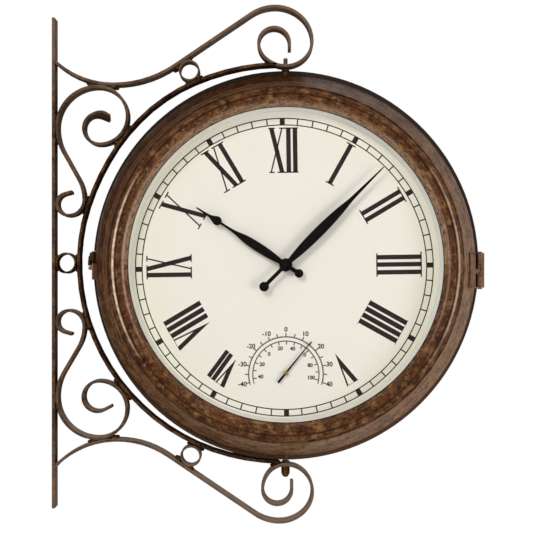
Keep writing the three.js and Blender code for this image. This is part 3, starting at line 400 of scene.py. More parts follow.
def rust_finish(name, dark, middle, light, painted_sheen):
    material = new_finish(name, middle, roughness=0.45, shine=0.06)
    where = object_place()
    way, far = round_the_dial()
    blotch = ramp(noise(where, 45, 5, 0.7), (0.4, 0.0), (0.6, 1.0))
    body = blended(blotch, dark, middle)
    glow = ramp(noise(where, 120, 5, 0.7), (0.48, 0.0), (0.62, 1.0))
    body = blended(times(glow, 0.85), body, light)
    # painted shade: the slope is darker at the upper left; painted highlight: the lip beside the glass is paler in
    # its upper half
    slope = stepped(far, CASE_REACH, (169.2, 0.0), (172, 1.0))
    high_left = ramp(toward(way, -0.42, 0.91), (0.0, 0.0), (0.9, 0.75))
    body = blended(times(slope, high_left), body, colour(52, 28, 13))
    lip = stepped(far, CASE_REACH, (150.4, 0.0), (151.4, 1.0), (154.4, 1.0), (157, 0.2), (160, 0.0))
    above = ramp(toward(way, 0, 1), (0.0, 0.1), (0.0, 0.8))
    body = blended(times(lip, above), body, colour(164, 132, 104))
    # painted sheen: the slope is paler at the lower right, as a painted reflection
    low_right = ramp(maths("MULTIPLY_ADD", toward(way, 0.57, -0.82), 0.5, 0.5), (0.3, 0.0), (0.8, 1.0))
    veil = ramp(noise(drawn_out(way, far, 7, 0.5), 1.0, 4, 0.65), (0.38, 0.2), (0.6, 1.0))
    body = blended(times(low_right, slope, veil), body, painted_sheen)
    wiped = ramp(noise(drawn_out(way, far, 18, 0.9), 1.0, 3, 0.6), (0.46, 0.0), (0.6, 1.0))
    body = blended(times(wiped, 0.45), body, dark)
    fleck = ramp(noise(where, 260, 5, 0.75), (0.53, 0.0), (0.6, 1.0))
    body = blended(times(fleck, 0.75), body, colour(36, 19, 11))
    # painted highlights on the crest and bead at the left and right sides, broken up by noise; faint painted
    # highlight lines on the slope's ridges; and painted shade in the grooves
    side = toward(way, 1, 0)
    left = ramp(times(side, -1), (0.84, 0.0), (0.98, 1.0))
    right = ramp(side, (0.8, 0.0), (0.98, 0.45))
    worn = ramp(noise(where, 140, 4, 0.7), (0.36, 0.45), (0.56, 1.0))
    painted_side_highlight = times(maths("MAXIMUM", left, right), worn, 0.9)
    faint_highlight = times(worn, 0.4)
    for radius, half, soft, share, tint in (
        (165.8, 0.45, 0.9, painted_side_highlight, colour(244, 222, 198)), (155.8, 0.4, 1.2, painted_side_highlight, colour(172, 144, 130)),
        (170.4, 0.2, 0.8, 0.7, GROOVE_SHADE), (150.9, 0.2, 0.8, 0.7, GROOVE_SHADE), (163.5, 0.3, 0.8, 0.7, GROOVE_SHADE),
        (173.2, 0.2, 0.7, faint_highlight, colour(156, 124, 98)), (176.0, 0.2, 0.7, faint_highlight, colour(156, 124, 98)),
    ):
        body = blended(times(on_ring(far, radius, half, soft), share), body, tint)
    # painted shadow in the corner beside the hinge barrel, except on the strap
    x, _, z = millimetres(where)
    corner = stepped(x, BAR_REACH, (411.9, 0.0), (412.4, 1.0), (415.6, 1.0), (416.1, 0.0))
    tall = stepped(maths("ABSOLUTE", maths("SUBTRACT", z, HINGE_Z)), 50, (17, 1.0), (17.4, 0.0))
    beside = stepped(maths("ABSOLUTE", maths("SUBTRACT", z, STRAP_Z)), 10, (2.2, 0.0), (2.8, 1.0))
    fed("Base Color", blended(times(corner, tall, beside), body, colour(24, 17, 11)))
    fed("Roughness", ramp(blotch, (0.0, 0.52), (1.0, 0.4)))
    bumped(noise(where, 500, 3), 0.2)
    return material


case_rust = rust_finish(
    "case_rust", colour(54, 30, 16), colour(106, 64, 34), colour(146, 104, 66), colour(146, 112, 84)
)
print("finish", case_rust.name)

# %% [markdown]
# The bracket is strip iron in a thin antique brown. The paint has worn through to a greyer brown on the high spots,
# and along the edges a paler gold is both edge wear and a painted glint. Every strip has the same width, so the
# distance from the middle plane tells the shader where an edge is. The bar's ends are pale, and the faces that look
# up are the palest, a painted highlight as if lit from above.

# %% Bracket iron finish


def iron_finish(name, dark, middle, worn, worn_edge_and_glint, ends=0.0):
    material = new_finish(name, colour(*middle), roughness=0.55, shine=0.0)
    where = object_place()
    blotch = ramp(noise(where, 90, 6, 0.75), (0.42, 0.0), (0.6, 1.0))
    body = blended(blotch, colour(*dark), colour(*middle))
    scuff = ramp(noise(where, 240, 4, 0.7), (0.52, 0.0), (0.66, 1.0))
    body = blended(times(scuff, 0.6), body, colour(*worn))
    _, y, z = (maths("ABSOLUTE", value) for value in millimetres(where))
    # the strip's edges: edge wear together with a painted glint
    near_edge = ramp(times(y, 2 / STRIP_WIDE), (0.93, 0.0), (0.985, 1.0))
    patchy = ramp(noise(where, 60, 5, 0.75), (0.48, 0.0), (0.68, 0.8))
    body = blended(times(near_edge, patchy), body, colour(*worn_edge_and_glint))
    if ends:
        body = blended(stepped(z, BAR_REACH, (150, 0.1), (220, ends)), body, colour(140, 116, 98))
        # painted highlight: faces that look up are lightened, as if lit from above
        facing = node("SeparateXYZ", node("TexCoord").outputs["Normal"]).outputs[2]
        body = blended(ramp(facing, (0.1, 0.0), (0.8, 0.5)), body, colour(176, 156, 140))
    fed("Base Color", body)
    fed("Roughness", ramp(scuff, (0.0, 0.6), (1.0, 0.45)))
    bumped(noise(where, 500, 2), 0.05)
    return material


bracket_iron = iron_finish("bracket_iron", (36, 25, 19), (84, 62, 48), (112, 88, 70), (120, 92, 62), ends=0.42)
hoop_iron = iron_finish("hoop_iron", (30, 19, 14), (70, 46, 32), (94, 68, 50), (112, 82, 50))
weld_metal = iron_finish("weld_metal", (52, 34, 18), (98, 70, 36), (126, 98, 60), (150, 118, 62))
keeper_metal = iron_finish("keeper_metal", (60, 38, 24), (88, 54, 32), (110, 74, 46), (110, 74, 46))
# painted highlight along the keeper's left edge
keeper_edge_highlight = stepped(millimetres(object_place())[0], 100, (39.6, 1.0), (40.4, 0.0))
tinted(keeper_edge_highlight, colour(150, 116, 104))
print("finish", bracket_iron.name, hoop_iron.name, weld_metal.name, keeper_metal.name)

# %% [markdown]
# The small finishes: cream paint inside the case, printed card with a faint fibre, black ink, black
# lacquer on the hands, rubber, bright steel, brass and moulded plastic. Each has a little noise in its
# colour and gloss, because no real surface is quite even.

# %% Small finishes


def plain_finish(name, base, other, roughness, scale, metallic=0.0, shine=0.5, grain=0.05):
    material = new_finish(name, colour(*base), roughness, metallic, shine)
    where = object_place()
    share = noise(where, scale)
    fed("Base Color", blended(share, colour(*base), colour(*other)))
    fed("Roughness", ramp(share, (0.3, roughness - 0.06), (0.7, roughness + 0.06)))
    bumped(noise(where, scale * 4, 2), grain, 0.4)
    return material


cream_paint = plain_finish("cream_paint", (238, 234, 226), (228, 224, 214), 0.5, 60, shine=0.3)
dial_card = plain_finish("dial_card", (243, 236, 227), (240, 232, 222), 0.62, 30, shine=0.15, grain=0.02)
dial_ink = plain_finish("dial_ink", (34, 27, 26), (42, 33, 31), 0.6, 200, shine=0.15, grain=0.01)
hand_black = plain_finish("hand_black", (8, 6, 6), (14, 10, 10), 0.6, 300, shine=0.05)
seal = plain_finish("seal", (18, 15, 13), (28, 24, 21), 0.8, 200, shine=0.2)
plain_steel = plain_finish("plain_steel", (150, 150, 150), (120, 118, 116), 0.35, 150, metallic=0.9)
brass = plain_finish("brass", (142, 120, 66), (112, 92, 48), 0.4, 250, metallic=0.9)
movement_plastic = plain_finish("movement_plastic", (34, 34, 36), (26, 26, 28), 0.55, 400, shine=0.4)
cell_jacket = plain_finish("cell_jacket", (104, 122, 134), (90, 108, 120), 0.35, 120, metallic=0.3)


def aged_rim(material, tint, begin, full, x, z, both=False):
    """Lays painted shading over a finish: a tint that grows with the distance from the dial's axis, towards (x, z).
    """
    in_hand(material)
    way, far = round_the_dial()
    lean = toward(way, x, z)
    if both:
        lean = maths("ABSOLUTE", lean)
    grown = stepped(far, CASE_REACH, (begin, 0.0), (full, 1.0))
    tinted(times(grown, ramp(lean, (0.1, 0.15), (0.8, 1.0))), colour(*tint))


# painted shadow of the case's lip: the card is yellower towards its edge, most at the left and right
aged_rim(dial_card, (239, 234, 215), 104, 152, 1, 0, both=True)
# painted highlight: the surround's outer edge turns bluish white, most towards the right and upper right
aged_rim(cream_paint, (230, 233, 240), 149.4, 150.8, 0.9, 0.44)
# painted sheen: the seal is a lighter brown, most towards the bottom
aged_rim(seal, (84, 58, 42), 170, 175, 0.14, -0.99)
print("finishes", len(bpy.data.materials))

# %% [markdown]
# The glass is flat and thin, so what lies behind it is seen unbent. A clear shader mixed with a little
# gloss gives that, and it lets the lamps reach the dial. Glass reflects more at a slant, which the Fresnel
# node gives. It is only asked for on the way in: on the way out it would lock the light inside the pane.

# %% Clear glass
GLASS_BEND = 1.1
clear_glass = in_hand(bpy.data.materials.new("clear_glass"))
tree.nodes.remove(tree.nodes["Principled BSDF"])
through = node("BsdfTransparent", color=(0.985, 0.99, 0.985, 1))
mirror = node("BsdfGlossy", roughness=0.05)
way_in = maths("SUBTRACT", 1.0, node("NewGeometry").outputs["Backfacing"])
gloss = times(node("Fresnel", GLASS_BEND).outputs[0], way_in)
pane = node("MixShader", gloss, through.outputs[0], mirror.outputs[0])
plugged(tree.nodes["Material Output"].inputs["Surface"], pane.outputs[0])

# %% [markdown]
# A strip scroll is bent cold from flat bar. The same way works here: the bar's section is a small plane
# with rounded corners, every bend is a spin of its end face, and every straight run is an extrusion. A
# curve with a bevel would be quicker, but the smith's list of bends keeps the true widths and radii.

# %% Bending strip iron
BEND_STEP = radians(5)


def section(name, start, heading):
    """The bar's section, set across the way the bar is heading."""
    nothing_selected()
    bpy.ops.mesh.primitive_plane_add(size=1)
    obj = named(name)
    edit_all()
    bpy.ops.transform.resize(value=(STRIP_THICK * MM, STRIP_WIDE * MM, 1))
    bpy.ops.mesh.bevel(offset=STRIP_CORNER * MM, segments=3, affect="VERTICES")
    object_mode()
    obj.location = start
    obj.rotation_euler = (0, UP - heading, 0)
    settle()
    return obj


def bent(bends, start, heading, side):
    """Carries the chosen end face along a run of bends (radius, degrees) and straights (length,)."""
    here = start.copy()
    for bend in bends:
        way = Vector((cos(heading), 0, sin(heading)))
        if len(bend) == 1:
            step = way * bend[0] * MM
            pull(step)
            here += step
            continue
        radius, turn = bend[0] * MM, radians(bend[1]) * side
        across = Vector((-way.z, 0, way.x)) * copysign(radius, turn)
        steps = max(3, ceil(abs(turn) / BEND_STEP))
        bpy.ops.mesh.spin(steps=steps, angle=turn, center=here + across, axis=DIAL_AXIS)
        heading += turn
        here = here + across - Vector((-sin(heading), 0, cos(heading))) * copysign(radius, turn)
    return here, heading


def face_at(obj, spot):
    """Selects the end face nearest a spot."""
    mesh = bmesh.from_edit_mesh(obj.data)
    for face in mesh.faces:
        face.select_set(False)
    nearest = min(mesh.faces, key=lambda face: (face.calc_center_median() - spot).length)
    nearest.select_set(True)
    mesh.faces.active = nearest
    bmesh.update_edit_mesh(obj.data)


def scroll(name, start, heading, onward, backward, side):
    """A strip bent both ways from one place. Side -1 is the same scroll below the middle."""
    spot = place(start[0], 0, side * start[1])
    heading = radians(heading) * side
    obj = section(name, spot, heading)
    edit_all("FACE")
    bent(onward, spot, heading, side)
    face_at(obj, spot)
    bent(backward, spot, heading + pi, side)
    object_mode()
    return finished(obj)


def ended_at_wall(obj, x):
    """Cuts a scroll's foot off flush with the wall bar."""
    only(obj)
    edit_all()
    bpy.ops.mesh.bisect(plane_co=place(x, 0, 0), plane_no=(1, 0, 0), use_fill=True, clear_inner=True)
    object_mode()
    return obj


# %% [markdown]
# Two heart-shaped scrolls fill the corners between the bar and the hoop. Each is one strip: a wide curl
# at one end, a straight run that leans away from the bar, and a tight curl at the other end.

# %% Heart scrolls
UPPER_CURL = [39.5, 29.1, 27, 15.6, 14]
LOWER_CURL = [39.5, 28.6, 27, 15.6, 14]
HEART_X = 4.8


def eased(share):
    return sin(share * UP) ** 2


def heart(name, start, curl, tail, run, side):
    big = [(radius, -90) for radius in curl] + [(curl[-1], -27), (tail,)]
    turn, length = run
    small = [(50, turn), (length,), (42, -turn), (15, -90), (11.437, -90), (10, -74), (7.3,)]
    return scroll(name, (HEART_X, start), 90, big, small, side)


def opened_tip(obj, tip, way, reach, lift):
    """Twists the last of a strip about its own run, so that its end shows its wide face."""
    across = Vector((-way.z, 0, way.x))
    for vertex in obj.data.vertices:
        flat = Vector((vertex.co.x, 0, vertex.co.z)) - tip
        if flat.length < reach * MM:
            share = eased(max(0.0, 1 + flat.dot(way) / (reach * MM)))
            vertex.co += across * (-vertex.co.y / (STRIP_WIDE / 2)) * lift * share


upper_heart = heart("upper_heart_strip", 132.368, UPPER_CURL, 5, (29.37, 29.771), 1)
lower_heart = heart("lower_heart_strip", 131.229, LOWER_CURL, 8, (30.518, 26.94), -1)
opened_tip(upper_heart, place(50.6, 0, 143.6), Vector((0.9, 0, -0.44)), 18, 2.4)
dressed(upper_heart, bracket_iron, "bracket", "upper_heart_scroll")
dressed(lower_heart, bracket_iron, "bracket", "lower_heart_scroll")
print("heart faces", len(upper_heart.data.polygons), len(lower_heart.data.polygons))

# %% [markdown]
# The long scrolls carry the clock. Each sweeps out from the wall bar, rounds an open loop over or under
# the case, passes the pivot and ends in a curl inside its own loop.

# %% Pivot scrolls
BAR_FACE, WALL_BEND = 3.3, 84.493


def pivot_scroll(name, height, outward, back, run, brace, wall, inward, inner, tail, side):
    turn, length = run
    out = [(radius, 45) for radius in outward] + [(back, turn), (length,), (brace, -turn), (WALL_BEND, -wall)]
    into = [(radius, -45) for radius in inward] + [(inner, -180), (tail,)]
    obj = scroll(name, (CASE_X, height), 0, out, into, side)
    return ended_at_wall(obj, BAR_FACE)


upper_loop = pivot_scroll(
    "upper_scroll_strip", 192, [26.9, 23.2, 32, 37.4], 42.5, (34.0723, 89.7076), 106, 44.291, [28.9, 19.7], 15, 6.7, 1
)
lower_loop = pivot_scroll(
    "lower_scroll_strip", 196.5, [26.2, 26.2, 27.7, 33.9], 42.5, (34.0188, 102.6778), 88, 47.704,
    [20.9, 26], 14.2, 8.6, -1,
)
dressed(upper_loop, bracket_iron, "bracket", "upper_scroll")
dressed(lower_loop, bracket_iron, "bracket", "lower_scroll")

# %% [markdown]
# The hoop runs round the back half of the case, a finger's width clear of it on the wall side and close
# at the pivots. It was rolled by hand, so it is a millimetre out of round here and there. The wall bar is
# flat bar with two screw holes near each end.

# %% Hoop and wall bar
HOOP_X, HOOP_RADIUS = 219.8, 194.3
HOOP_TOP, HOOP_BOTTOM = 90.4, 89.6
hoop_start = (HOOP_X + HOOP_RADIUS * cos(radians(HOOP_TOP)), HOOP_RADIUS * sin(radians(HOOP_TOP)))
# clockwise degrees from the top, and how far the strip lies outside the true circle
HOOP_ROLL = [
    (180, -0.5), (189, -0.9), (196, -1.1), (217, -1.15), (224, -1.3), (238, -1.0), (245, -0.85), (259, -0.4),
    (273, -0.3), (280, -0.5), (287, -1.0), (294, -1.4), (301, -1.2), (308, -0.6), (315, -0.1), (322, 0.3),
    (329, 0.3), (336, -0.2), (343, -0.7), (350, -0.65), (360, -0.5),
]


def out_of_round(obj, centre, table):
    """Moves each vertex in or out from a centre by the table's amount at its angle."""
    for vertex in obj.data.vertices:
        arm = Vector((vertex.co.x, 0, vertex.co.z)) - centre
        angle = degrees(atan2(arm.x, arm.z)) % 360
        for (a0, r0), (a1, r1) in zip(table, table[1:]):
            if a0 <= angle <= a1:
                vertex.co += arm.normalized() * (r0 + (r1 - r0) * eased((angle - a0) / (a1 - a0))) * MM


hoop = scroll("hoop_strip", hoop_start, HOOP_TOP + 90, [(HOOP_RADIUS, 360 - HOOP_TOP - HOOP_BOTTOM)], [], 1)
out_of_round(hoop, place(HOOP_X, 0, 0), HOOP_ROLL)
dressed(hoop, hoop_iron, "bracket", "hoop")

BAR_END = 238.9
bar = block("wall_bar_strip", place(0, -STRIP_WIDE / 2, -BAR_END), place(STRIP_THICK, STRIP_WIDE / 2, BAR_END))
for height in (-228.9, -208.9, 208.9, 228.9):
    cut_away(bar, rod("screw_hole", 3.25, 12, place(STRIP_THICK / 2, 0, height), (0, UP, 0)))
rounded(bar, 0.5)
finished(bar)
dressed(bar, bracket_iron, "bracket", "wall_bar")

# %% [markdown]
# Three short tubes space the strips. Each is cut from pipe, so its section is spun round its own axis.

# %% Spacer rings
RING_RADIUS, RING_WALL = 10.2, 1.8


def spacer_ring(name, x, z, node_name, finish=bracket_iron):
    inner, half, soft = RING_RADIUS - RING_WALL, STRIP_WIDE / 2, 0.4
    upper = [(inner, half - soft), (inner + soft, half), (RING_RADIUS - soft, half), (RING_RADIUS, half - soft)]
    outline = [(radius, -along) for radius, along in upper] + upper[::-1]
    dressed(turned(name, outline, place(x, 0, z), DIAL_AXIS), finish, "bracket", node_name)


spacer_ring("upper_ring_tube", 133.582, 187.42, "upper_ring")
spacer_ring("middle_ring_tube", 13.5, 0, "middle_ring", hoop_iron)
spacer_ring("lower_ring_tube", 135.074, -188.099, "lower_ring")
print("bracket pieces done")

# %% [markdown]
# Where two strips meet, a bead of weld fills the narrow corner on each side of the contact. A bead is a
# ball stretched across the strip and leaned along the seam. The welds keep a little of their yellow heat.

# %% Weld beads
# each bead: across and up in millimetres, lean in degrees, half length, half thickness
WELDS = [
    (121.8, 190.3, 40, 5.0, 1.9), (133.5, 199.2, 34, 4.0, 1.3), (142.6, 181.0, 28, 4.5, 1.8),
    (132.6, 176.6, 24, 3.5, 1.2), (123.4, -191.2, -40, 4.6, 1.8), (135.0, -200.0, -34, 4.0, 1.3),
    (144.2, -181.4, -28, 4.2, 1.7), (134.2, -177.0, -24, 3.5, 1.2), (3.6, 143.5, 88, 5.0, 0.9),
    (3.6, 120.5, 92, 5.0, 0.8), (3.6, -142.5, 92, 5.0, 0.9), (3.6, -119.5, 88, 5.0, 0.8),
    (73.6, 130.8, 50, 5.0, 2.0), (62.8, 117.6, 50, 4.5, 1.6), (73.2, -130.3, -51, 5.0, 1.9),
    (62.4, -117.0, -51, 4.5, 1.6), (38.6, 174.4, -8, 6.0, 1.6), (59.4, 171.6, -8, 5.5, 1.7),
    (39.4, -173.6, 9, 6.0, 1.6), (60.0, -170.2, 9, 5.5, 1.7), (210.6, 196.2, -24, 4.0, 2.0),
    (216.4, -197.3, 10, 4.2, 1.7), (221.0, -195.0, 30, 2.2, 1.3),
]
for x, z, lean, long, thick in (
    (3.9, 5.6, 90, 3.0, 1.1), (23.2, 5.8, 90, 3.0, 1.0), (3.8, 52.5, 95, 3.0, 1.0), (3.8, 63.5, 85, 3.0, 1.0),
    (34.0, 62.8, 73, 3.2, 1.3), (30.4, 50.2, 73, 3.2, 1.2),
):
    WELDS += [(x, z, lean, long, thick), (x, -z, -lean, long, thick)]
BEAD_HALF = 12.9
beads = []
for x, z, lean, long, thick in WELDS:
    nothing_selected()
    bpy.ops.mesh.primitive_uv_sphere_add(
        segments=20, ring_count=12, radius=1, location=place(x, 0, z), rotation=(0, -radians(lean), 0)
    )
    bpy.context.object.scale = (long * MM, BEAD_HALF * MM, thick * MM)
    beads.append(bpy.context.object)
welds = finished(joined("weld_beads", beads))
dressed(welds, weld_metal, "bracket")
print("welds", len(WELDS))

# %% [markdown]
# The case is two pressed steel shells that meet edge to edge. A shell slopes out from the seam to a
# groove, rises over a wide rounded band and turns in to hold the glass. Its wall is drawn once in section
# and spun round the dial's axis, as a presser's tool is turned.

# %% Case shells
SHELL_OUTSIDE = [
    (180.0, 1.5), (184.6, 1.5), (185.4, 1.9), (185.8, 2.7), (185.9, 4.2), (185.5, 6.5), (181.9, 16.0), (177.2, 26.0),
    (172.9, 35.2), (172.1, 36.8), (171.6, 38.0), (170.7, 38.6), (169.9, 38.8), (169.3, 39.3), (169.0, 40.2),
    (168.7, 41.3), (168.0, 42.6), (167.0, 43.6), (165.8, 44.0), (164.6, 43.8), (163.9, 43.3), (163.3, 43.2),
    (162.7, 43.5), (160.6, 44.6), (158.7, 45.6), (157.3, 46.6), (156.4, 47.5), (155.6, 47.9), (154.7, 47.5),
    (153.8, 46.2), (152.8, 44.2), (151.8, 42.6), (151.1, 42.0), (150.8, 41.6), (150.8, 41.1),
]
SHELL_INSIDE = [
    (151.6, 41.1), (154.1, 44.6), (155.7, 46.4), (158.0, 44.4), (162.0, 42.4), (166.6, 41.8), (168.2, 38.6),
    (171.2, 35.6), (184.2, 7.0), (184.8, 4.4), (184.5, 2.6), (180.0, 2.5),
]


def pressed_shell(name, side):
    outline = [(radius, side * depth) for radius, depth in SHELL_OUTSIDE + SHELL_INSIDE]
    obj = turned(name, outline, HUB, DIAL_AXIS, steps=144)
    cut_away(obj, block("barrel_room", case_place(185.0, -4.7, -22.4), case_place(196, 4.7, 12.6)))
    for end in (1, -1):
        cut_away(obj, rod("pivot_hole", 2.5, 20, case_place(0, 0, end * 186)))
    return finished(obj)


front_shell = pressed_shell("front_case_shell", FRONT)
rear_shell = pressed_shell("rear_case_shell", REAR)
dressed(front_shell, case_rust, "door", "front_shell")
dressed(rear_shell, case_rust, "case", "rear_shell")
print("shell faces", len(front_shell.data.polygons), len(rear_shell.data.polygons))

# %% [markdown]
# A black rubber seal closes the seam. It stands a little proud of both rims, so it draws the thin dark
# line round the case. Rubber is laid by hand: the ring is stretched a little upright, leaned and set off
# centre. It stops at the hinge, the latch and the two pivots, and below it carries a painted brown sheen.

# %% Seam seal
SEAL_OVAL, SEAL_LEAN, SEAL_ASIDE = 0.0051, -8, 0.49
seal_outline = [(182.5, -1.1), (189.0, -1.1), (189.4, -0.7), (189.4, 0.7), (189.0, 1.1), (182.5, 1.1)]
seal_ring = turned("seam_seal_ring", seal_outline, HUB, DIAL_AXIS, 144)
bpy.context.scene.tool_settings.transform_pivot_point = "CURSOR"
bpy.context.scene.cursor.location = HUB
only(seal_ring)
edit_all()
bpy.ops.transform.resize(value=(1 - SEAL_OVAL, 1, 1 + SEAL_OVAL))
bpy.ops.transform.rotate(value=radians(SEAL_LEAN), orient_axis="Y")
bpy.ops.transform.translate(value=(SEAL_ASIDE * MM, 0, 0))
object_mode()
cut_away(seal_ring, block("barrel_room", case_place(185.0, -4.7, -22.0), case_place(196, 4.7, 12.2)))
cut_away(seal_ring, block("latch_room", place(30, -2, -3.4), place(42.6, 2, 11.8)))
for end in (1, -1):
    cut_away(seal_ring, rod("pivot_hole", 2.15, 16, case_place(0, 0, end * 188)))
finished(seal_ring)
dressed(seal_ring, seal, "case", "left_seam_gasket", "right_seam_gasket")

# %% [markdown]
# Behind each pane sits a cream ring that narrows towards the dial, and the dial is a flat printed disc.
# Both are turned pieces. The front ones ride on the hinged door and the rear ones on the case.

# %% Panes, surrounds and dials
SIDES = ((FRONT, "front", "door"), (REAR, "rear", "case"))
# each fitting: its own name, its outline of (radius, depth), its finish and the solid that it stands for
FITTINGS = (
    (
        "pane", [(0, 38.5), (153.2, 38.5), (153.8, 39.0), (153.8, 40.2), (153.2, 40.7), (0, 40.7)],
        clear_glass, "glass",
    ),
    (
        "surround_ring", [(150.8, 38.2), (152.2, 38.2), (150.2, 22.3), (148.6, 22.3), (148.9, 24.0), (150.4, 36.0)],
        cream_paint, "dial_surround",
    ),
    ("dial_disc", [(4.3, 21.0), (152.6, 21.0), (152.6, 22.0), (4.3, 22.0)], dial_card, "dial"),
)
for side, which, body in SIDES:
    for name, outline, finish, stands_for in FITTINGS:
        facing = [(radius, side * depth) for radius, depth in outline]
        fitting = turned(f"{which}_{name}", facing, HUB, DIAL_AXIS, 128)
        dressed(fitting, finish, body, f"{which}_{stands_for}")
print("panes, surrounds and dials done")

# %% [markdown]
# The print is a thin layer of ink, so it is modelled as one: bars and circles 0.05 mm proud of the card.
# An image would need a file, and a shader hundreds of nodes. One bar is made from a plane and extruded,
# and every tick and stroke is a copy of it with its own mesh.

# %% Inking helpers
INK = 0.05
ink = []
PRINT_X, PRINT_Z, PRINT_TURN = -1.3, -2.1, -0.85
THERMO_DROP = 104.4

nothing_selected()
bpy.ops.mesh.primitive_plane_add(size=1, rotation=(UP, 0, 0))
ink_bar = named("ink_bar")
bpy.ops.object.transform_apply(location=False, rotation=True, scale=False)
edit_all("FACE")
pull((0, -INK * MM, 0))
bpy.ops.mesh.select_all(action="SELECT")
bpy.ops.mesh.normals_make_consistent(inside=False)
object_mode()


def ink_stroke(start, end, width):
    """Adds a straight stroke between two places (across, up) on the front dial."""
    obj = ink_bar.copy()
    obj.data = ink_bar.data.copy()
    in_scene(obj)
    (x0, z0), (x1, z1) = start, end
    length = hypot(x1 - x0, z1 - z0)
    obj.scale = (width * MM, 1, length * MM)
    obj.rotation_euler = (0, atan2(x1 - x0, z1 - z0), 0)
    obj.location = case_place((x0 + x1) / 2, -DIAL_DEPTH, (z0 + z1) / 2)
    ink.append(obj)


def on_print(hour_angle, tangent, radius):
    """A place on the print: clockwise degrees, then along the tangent and the radius."""
    angle = radians(hour_angle + PRINT_TURN)
    return (
        PRINT_X + radius * sin(angle) + tangent * cos(angle),
        PRINT_Z + radius * cos(angle) - tangent * sin(angle),
    )


def ink_arc(centre, radius, width, start, end):
    """Adds a printed arc, clockwise from start to end in degrees from the top."""
    angle = radians(start)
    way = Vector((sin(angle), 0, cos(angle)))
    middle = case_place(centre[0], -DIAL_DEPTH, centre[1])
    near, far = middle + way * (radius - width / 2) * MM, middle + way * (radius + width / 2) * MM
    lift = Vector((0, -INK * MM, 0))
    ink.append(drawn("ink_arc", [near, far, far + lift, near + lift], closed=True))
    bpy.ops.mesh.edge_face_add()
    turn = radians(end - start)
    bpy.ops.mesh.spin(steps=max(24, int(abs(end - start) / 2)), angle=-turn, center=middle, axis=DIAL_AXIS)
    object_mode()


# %% [markdown]
# The minute track is two circles with a tick for each minute and a block at each hour. The Roman numbers
# stand with their feet to the middle, in wide strokes and hairlines, each given by its head and foot.

# %% Minute track and Roman numbers
TRACK_OUT, TRACK_IN, TRACK_LINE, HOUR_BLOCK, MINUTE_TICK = 143.95, 137.6, 1.05, 4.9, 1.2
WIDE, HAIR, SERIF = 4.4, 1.4, 1.25
# hour: head radius, foot radius, strokes (width, head, foot), head serifs and foot serifs (from, to)
NUMBERS = {
    12: (134.5, 91.9, [(WIDE, -10.3, -0.4), (HAIR, -0.1, -11.0), (WIDE, 6.1, 6.1), (WIDE, 12.5, 12.5)],
         [(-13.3, -6.8), (-2.8, 15.5)], [(-12.9, -7.7), (-4.9, 15.5)]),
    1: (134.2, 91.4, [(WIDE, -1.0, -1.0)], [(-5.9, 3.8)], [(-5.2, 3.6)]),
    2: (133.1, 90.2, [(WIDE, -5.4, -5.4), (WIDE, 1.9, 1.9)], [(-10.0, 6.5)], [(-9.8, 5.9)]),
    3: (132.4, 89.6, [(WIDE, -8.3, -8.3), (WIDE, -1.2, -1.2), (WIDE, 6.3, 6.3)], [(-13.3, 11.1)], [(-12.1, 10.5)]),
    9: (132.4, 89.6, [(WIDE, -5.7, -5.7), (WIDE, 0.2, 10.5), (HAIR, 10.3, 0.0)],
        [(-9.8, 3.8), (7.6, 13.1)], [(-9.4, 2.0), (6.5, 14.0)]),
    10: (133.3, 90.6, [(WIDE, -4.5, 6.0), (HAIR, 5.8, -4.9)], [(-9.3, -0.8), (2.6, 9.0)], [(-8.5, -2.2), (2.0, 9.2)]),
    11: (133.9, 91.0, [(WIDE, -8.5, 1.0), (HAIR, 0.9, -9.5), (WIDE, 7.5, 7.5)],
         [(-13.4, -4.7), (-1.5, 11.6)], [(-12.9, -6.3), (-3.4, 11.6)]),
}
# strokes of the four numbers without serifs: head (tangent, radius), foot (tangent, radius), width
PLAIN_STROKES = {
    4: [((x, 129.8), (x, 88.4), 4.8) for x in (-10.4, -3.8, 2.9, 9.5)]
    + [((-13.6, radius), (13.6, radius), 0.4) for radius in (129.7, 88.5)],
    5: [((-6.0, 129.4), (7.0, 129.4), 0.4)],
    7: [((7.3, 129.6), (3.7, 99.0), 4.2), ((12.4, 128.4), (8.5, 98.0), 4.2),
        ((-6.2, 130.9), (14.4, 128.2), 0.4)],
    8: [((-1.5, 129.1), (-1.5, 88.6), 4.7), ((5.3, 129.1), (5.3, 88.4), 4.7),
        ((12.1, 128.6), (12.1, 88.0), 4.7), ((-17.6, 128.8), (14.8, 128.5), 0.4)],
}
# the V of three numbers: a wide stroke that meets a hairline
VEES = {
    5: [(-5.5, 129.5), (-1.1, 129.5), (1.9, 112.0), (5.0, 129.5), (6.6, 129.5), (0.4, 95.9)],
    7: [(-6.0, 131.0), (-1.6, 131.0), (-0.4, 116.5), (2.7, 130.2), (4.2, 130.2), (-2.7, 101.0)],
    8: [(-17.8, 129.0), (-13.4, 129.0), (-8.5, 108.0), (-6.85, 129.0), (-5.35, 129.0), (-8.6, 89.6)],
}
# how far each number stands off its place: along the tangent and the radius
SET_OFF = {
    12: (-0.39, -0.08), 1: (-0.28, 0.68), 2: (-0.41, 0.51), 3: (0.07, -0.11), 4: (0.08, -0.09), 5: (0.32, 0.52),
    7: (0.1, -0.66), 8: (0.1, -0.73), 9: (-0.07, 0.46), 10: (-0.11, 0.16), 11: (-0.24, 0.62),
}


def at_hour(hour, tangent, radius):
    return on_print(hour * 30, tangent + SET_OFF[hour][0], radius + SET_OFF[hour][1])


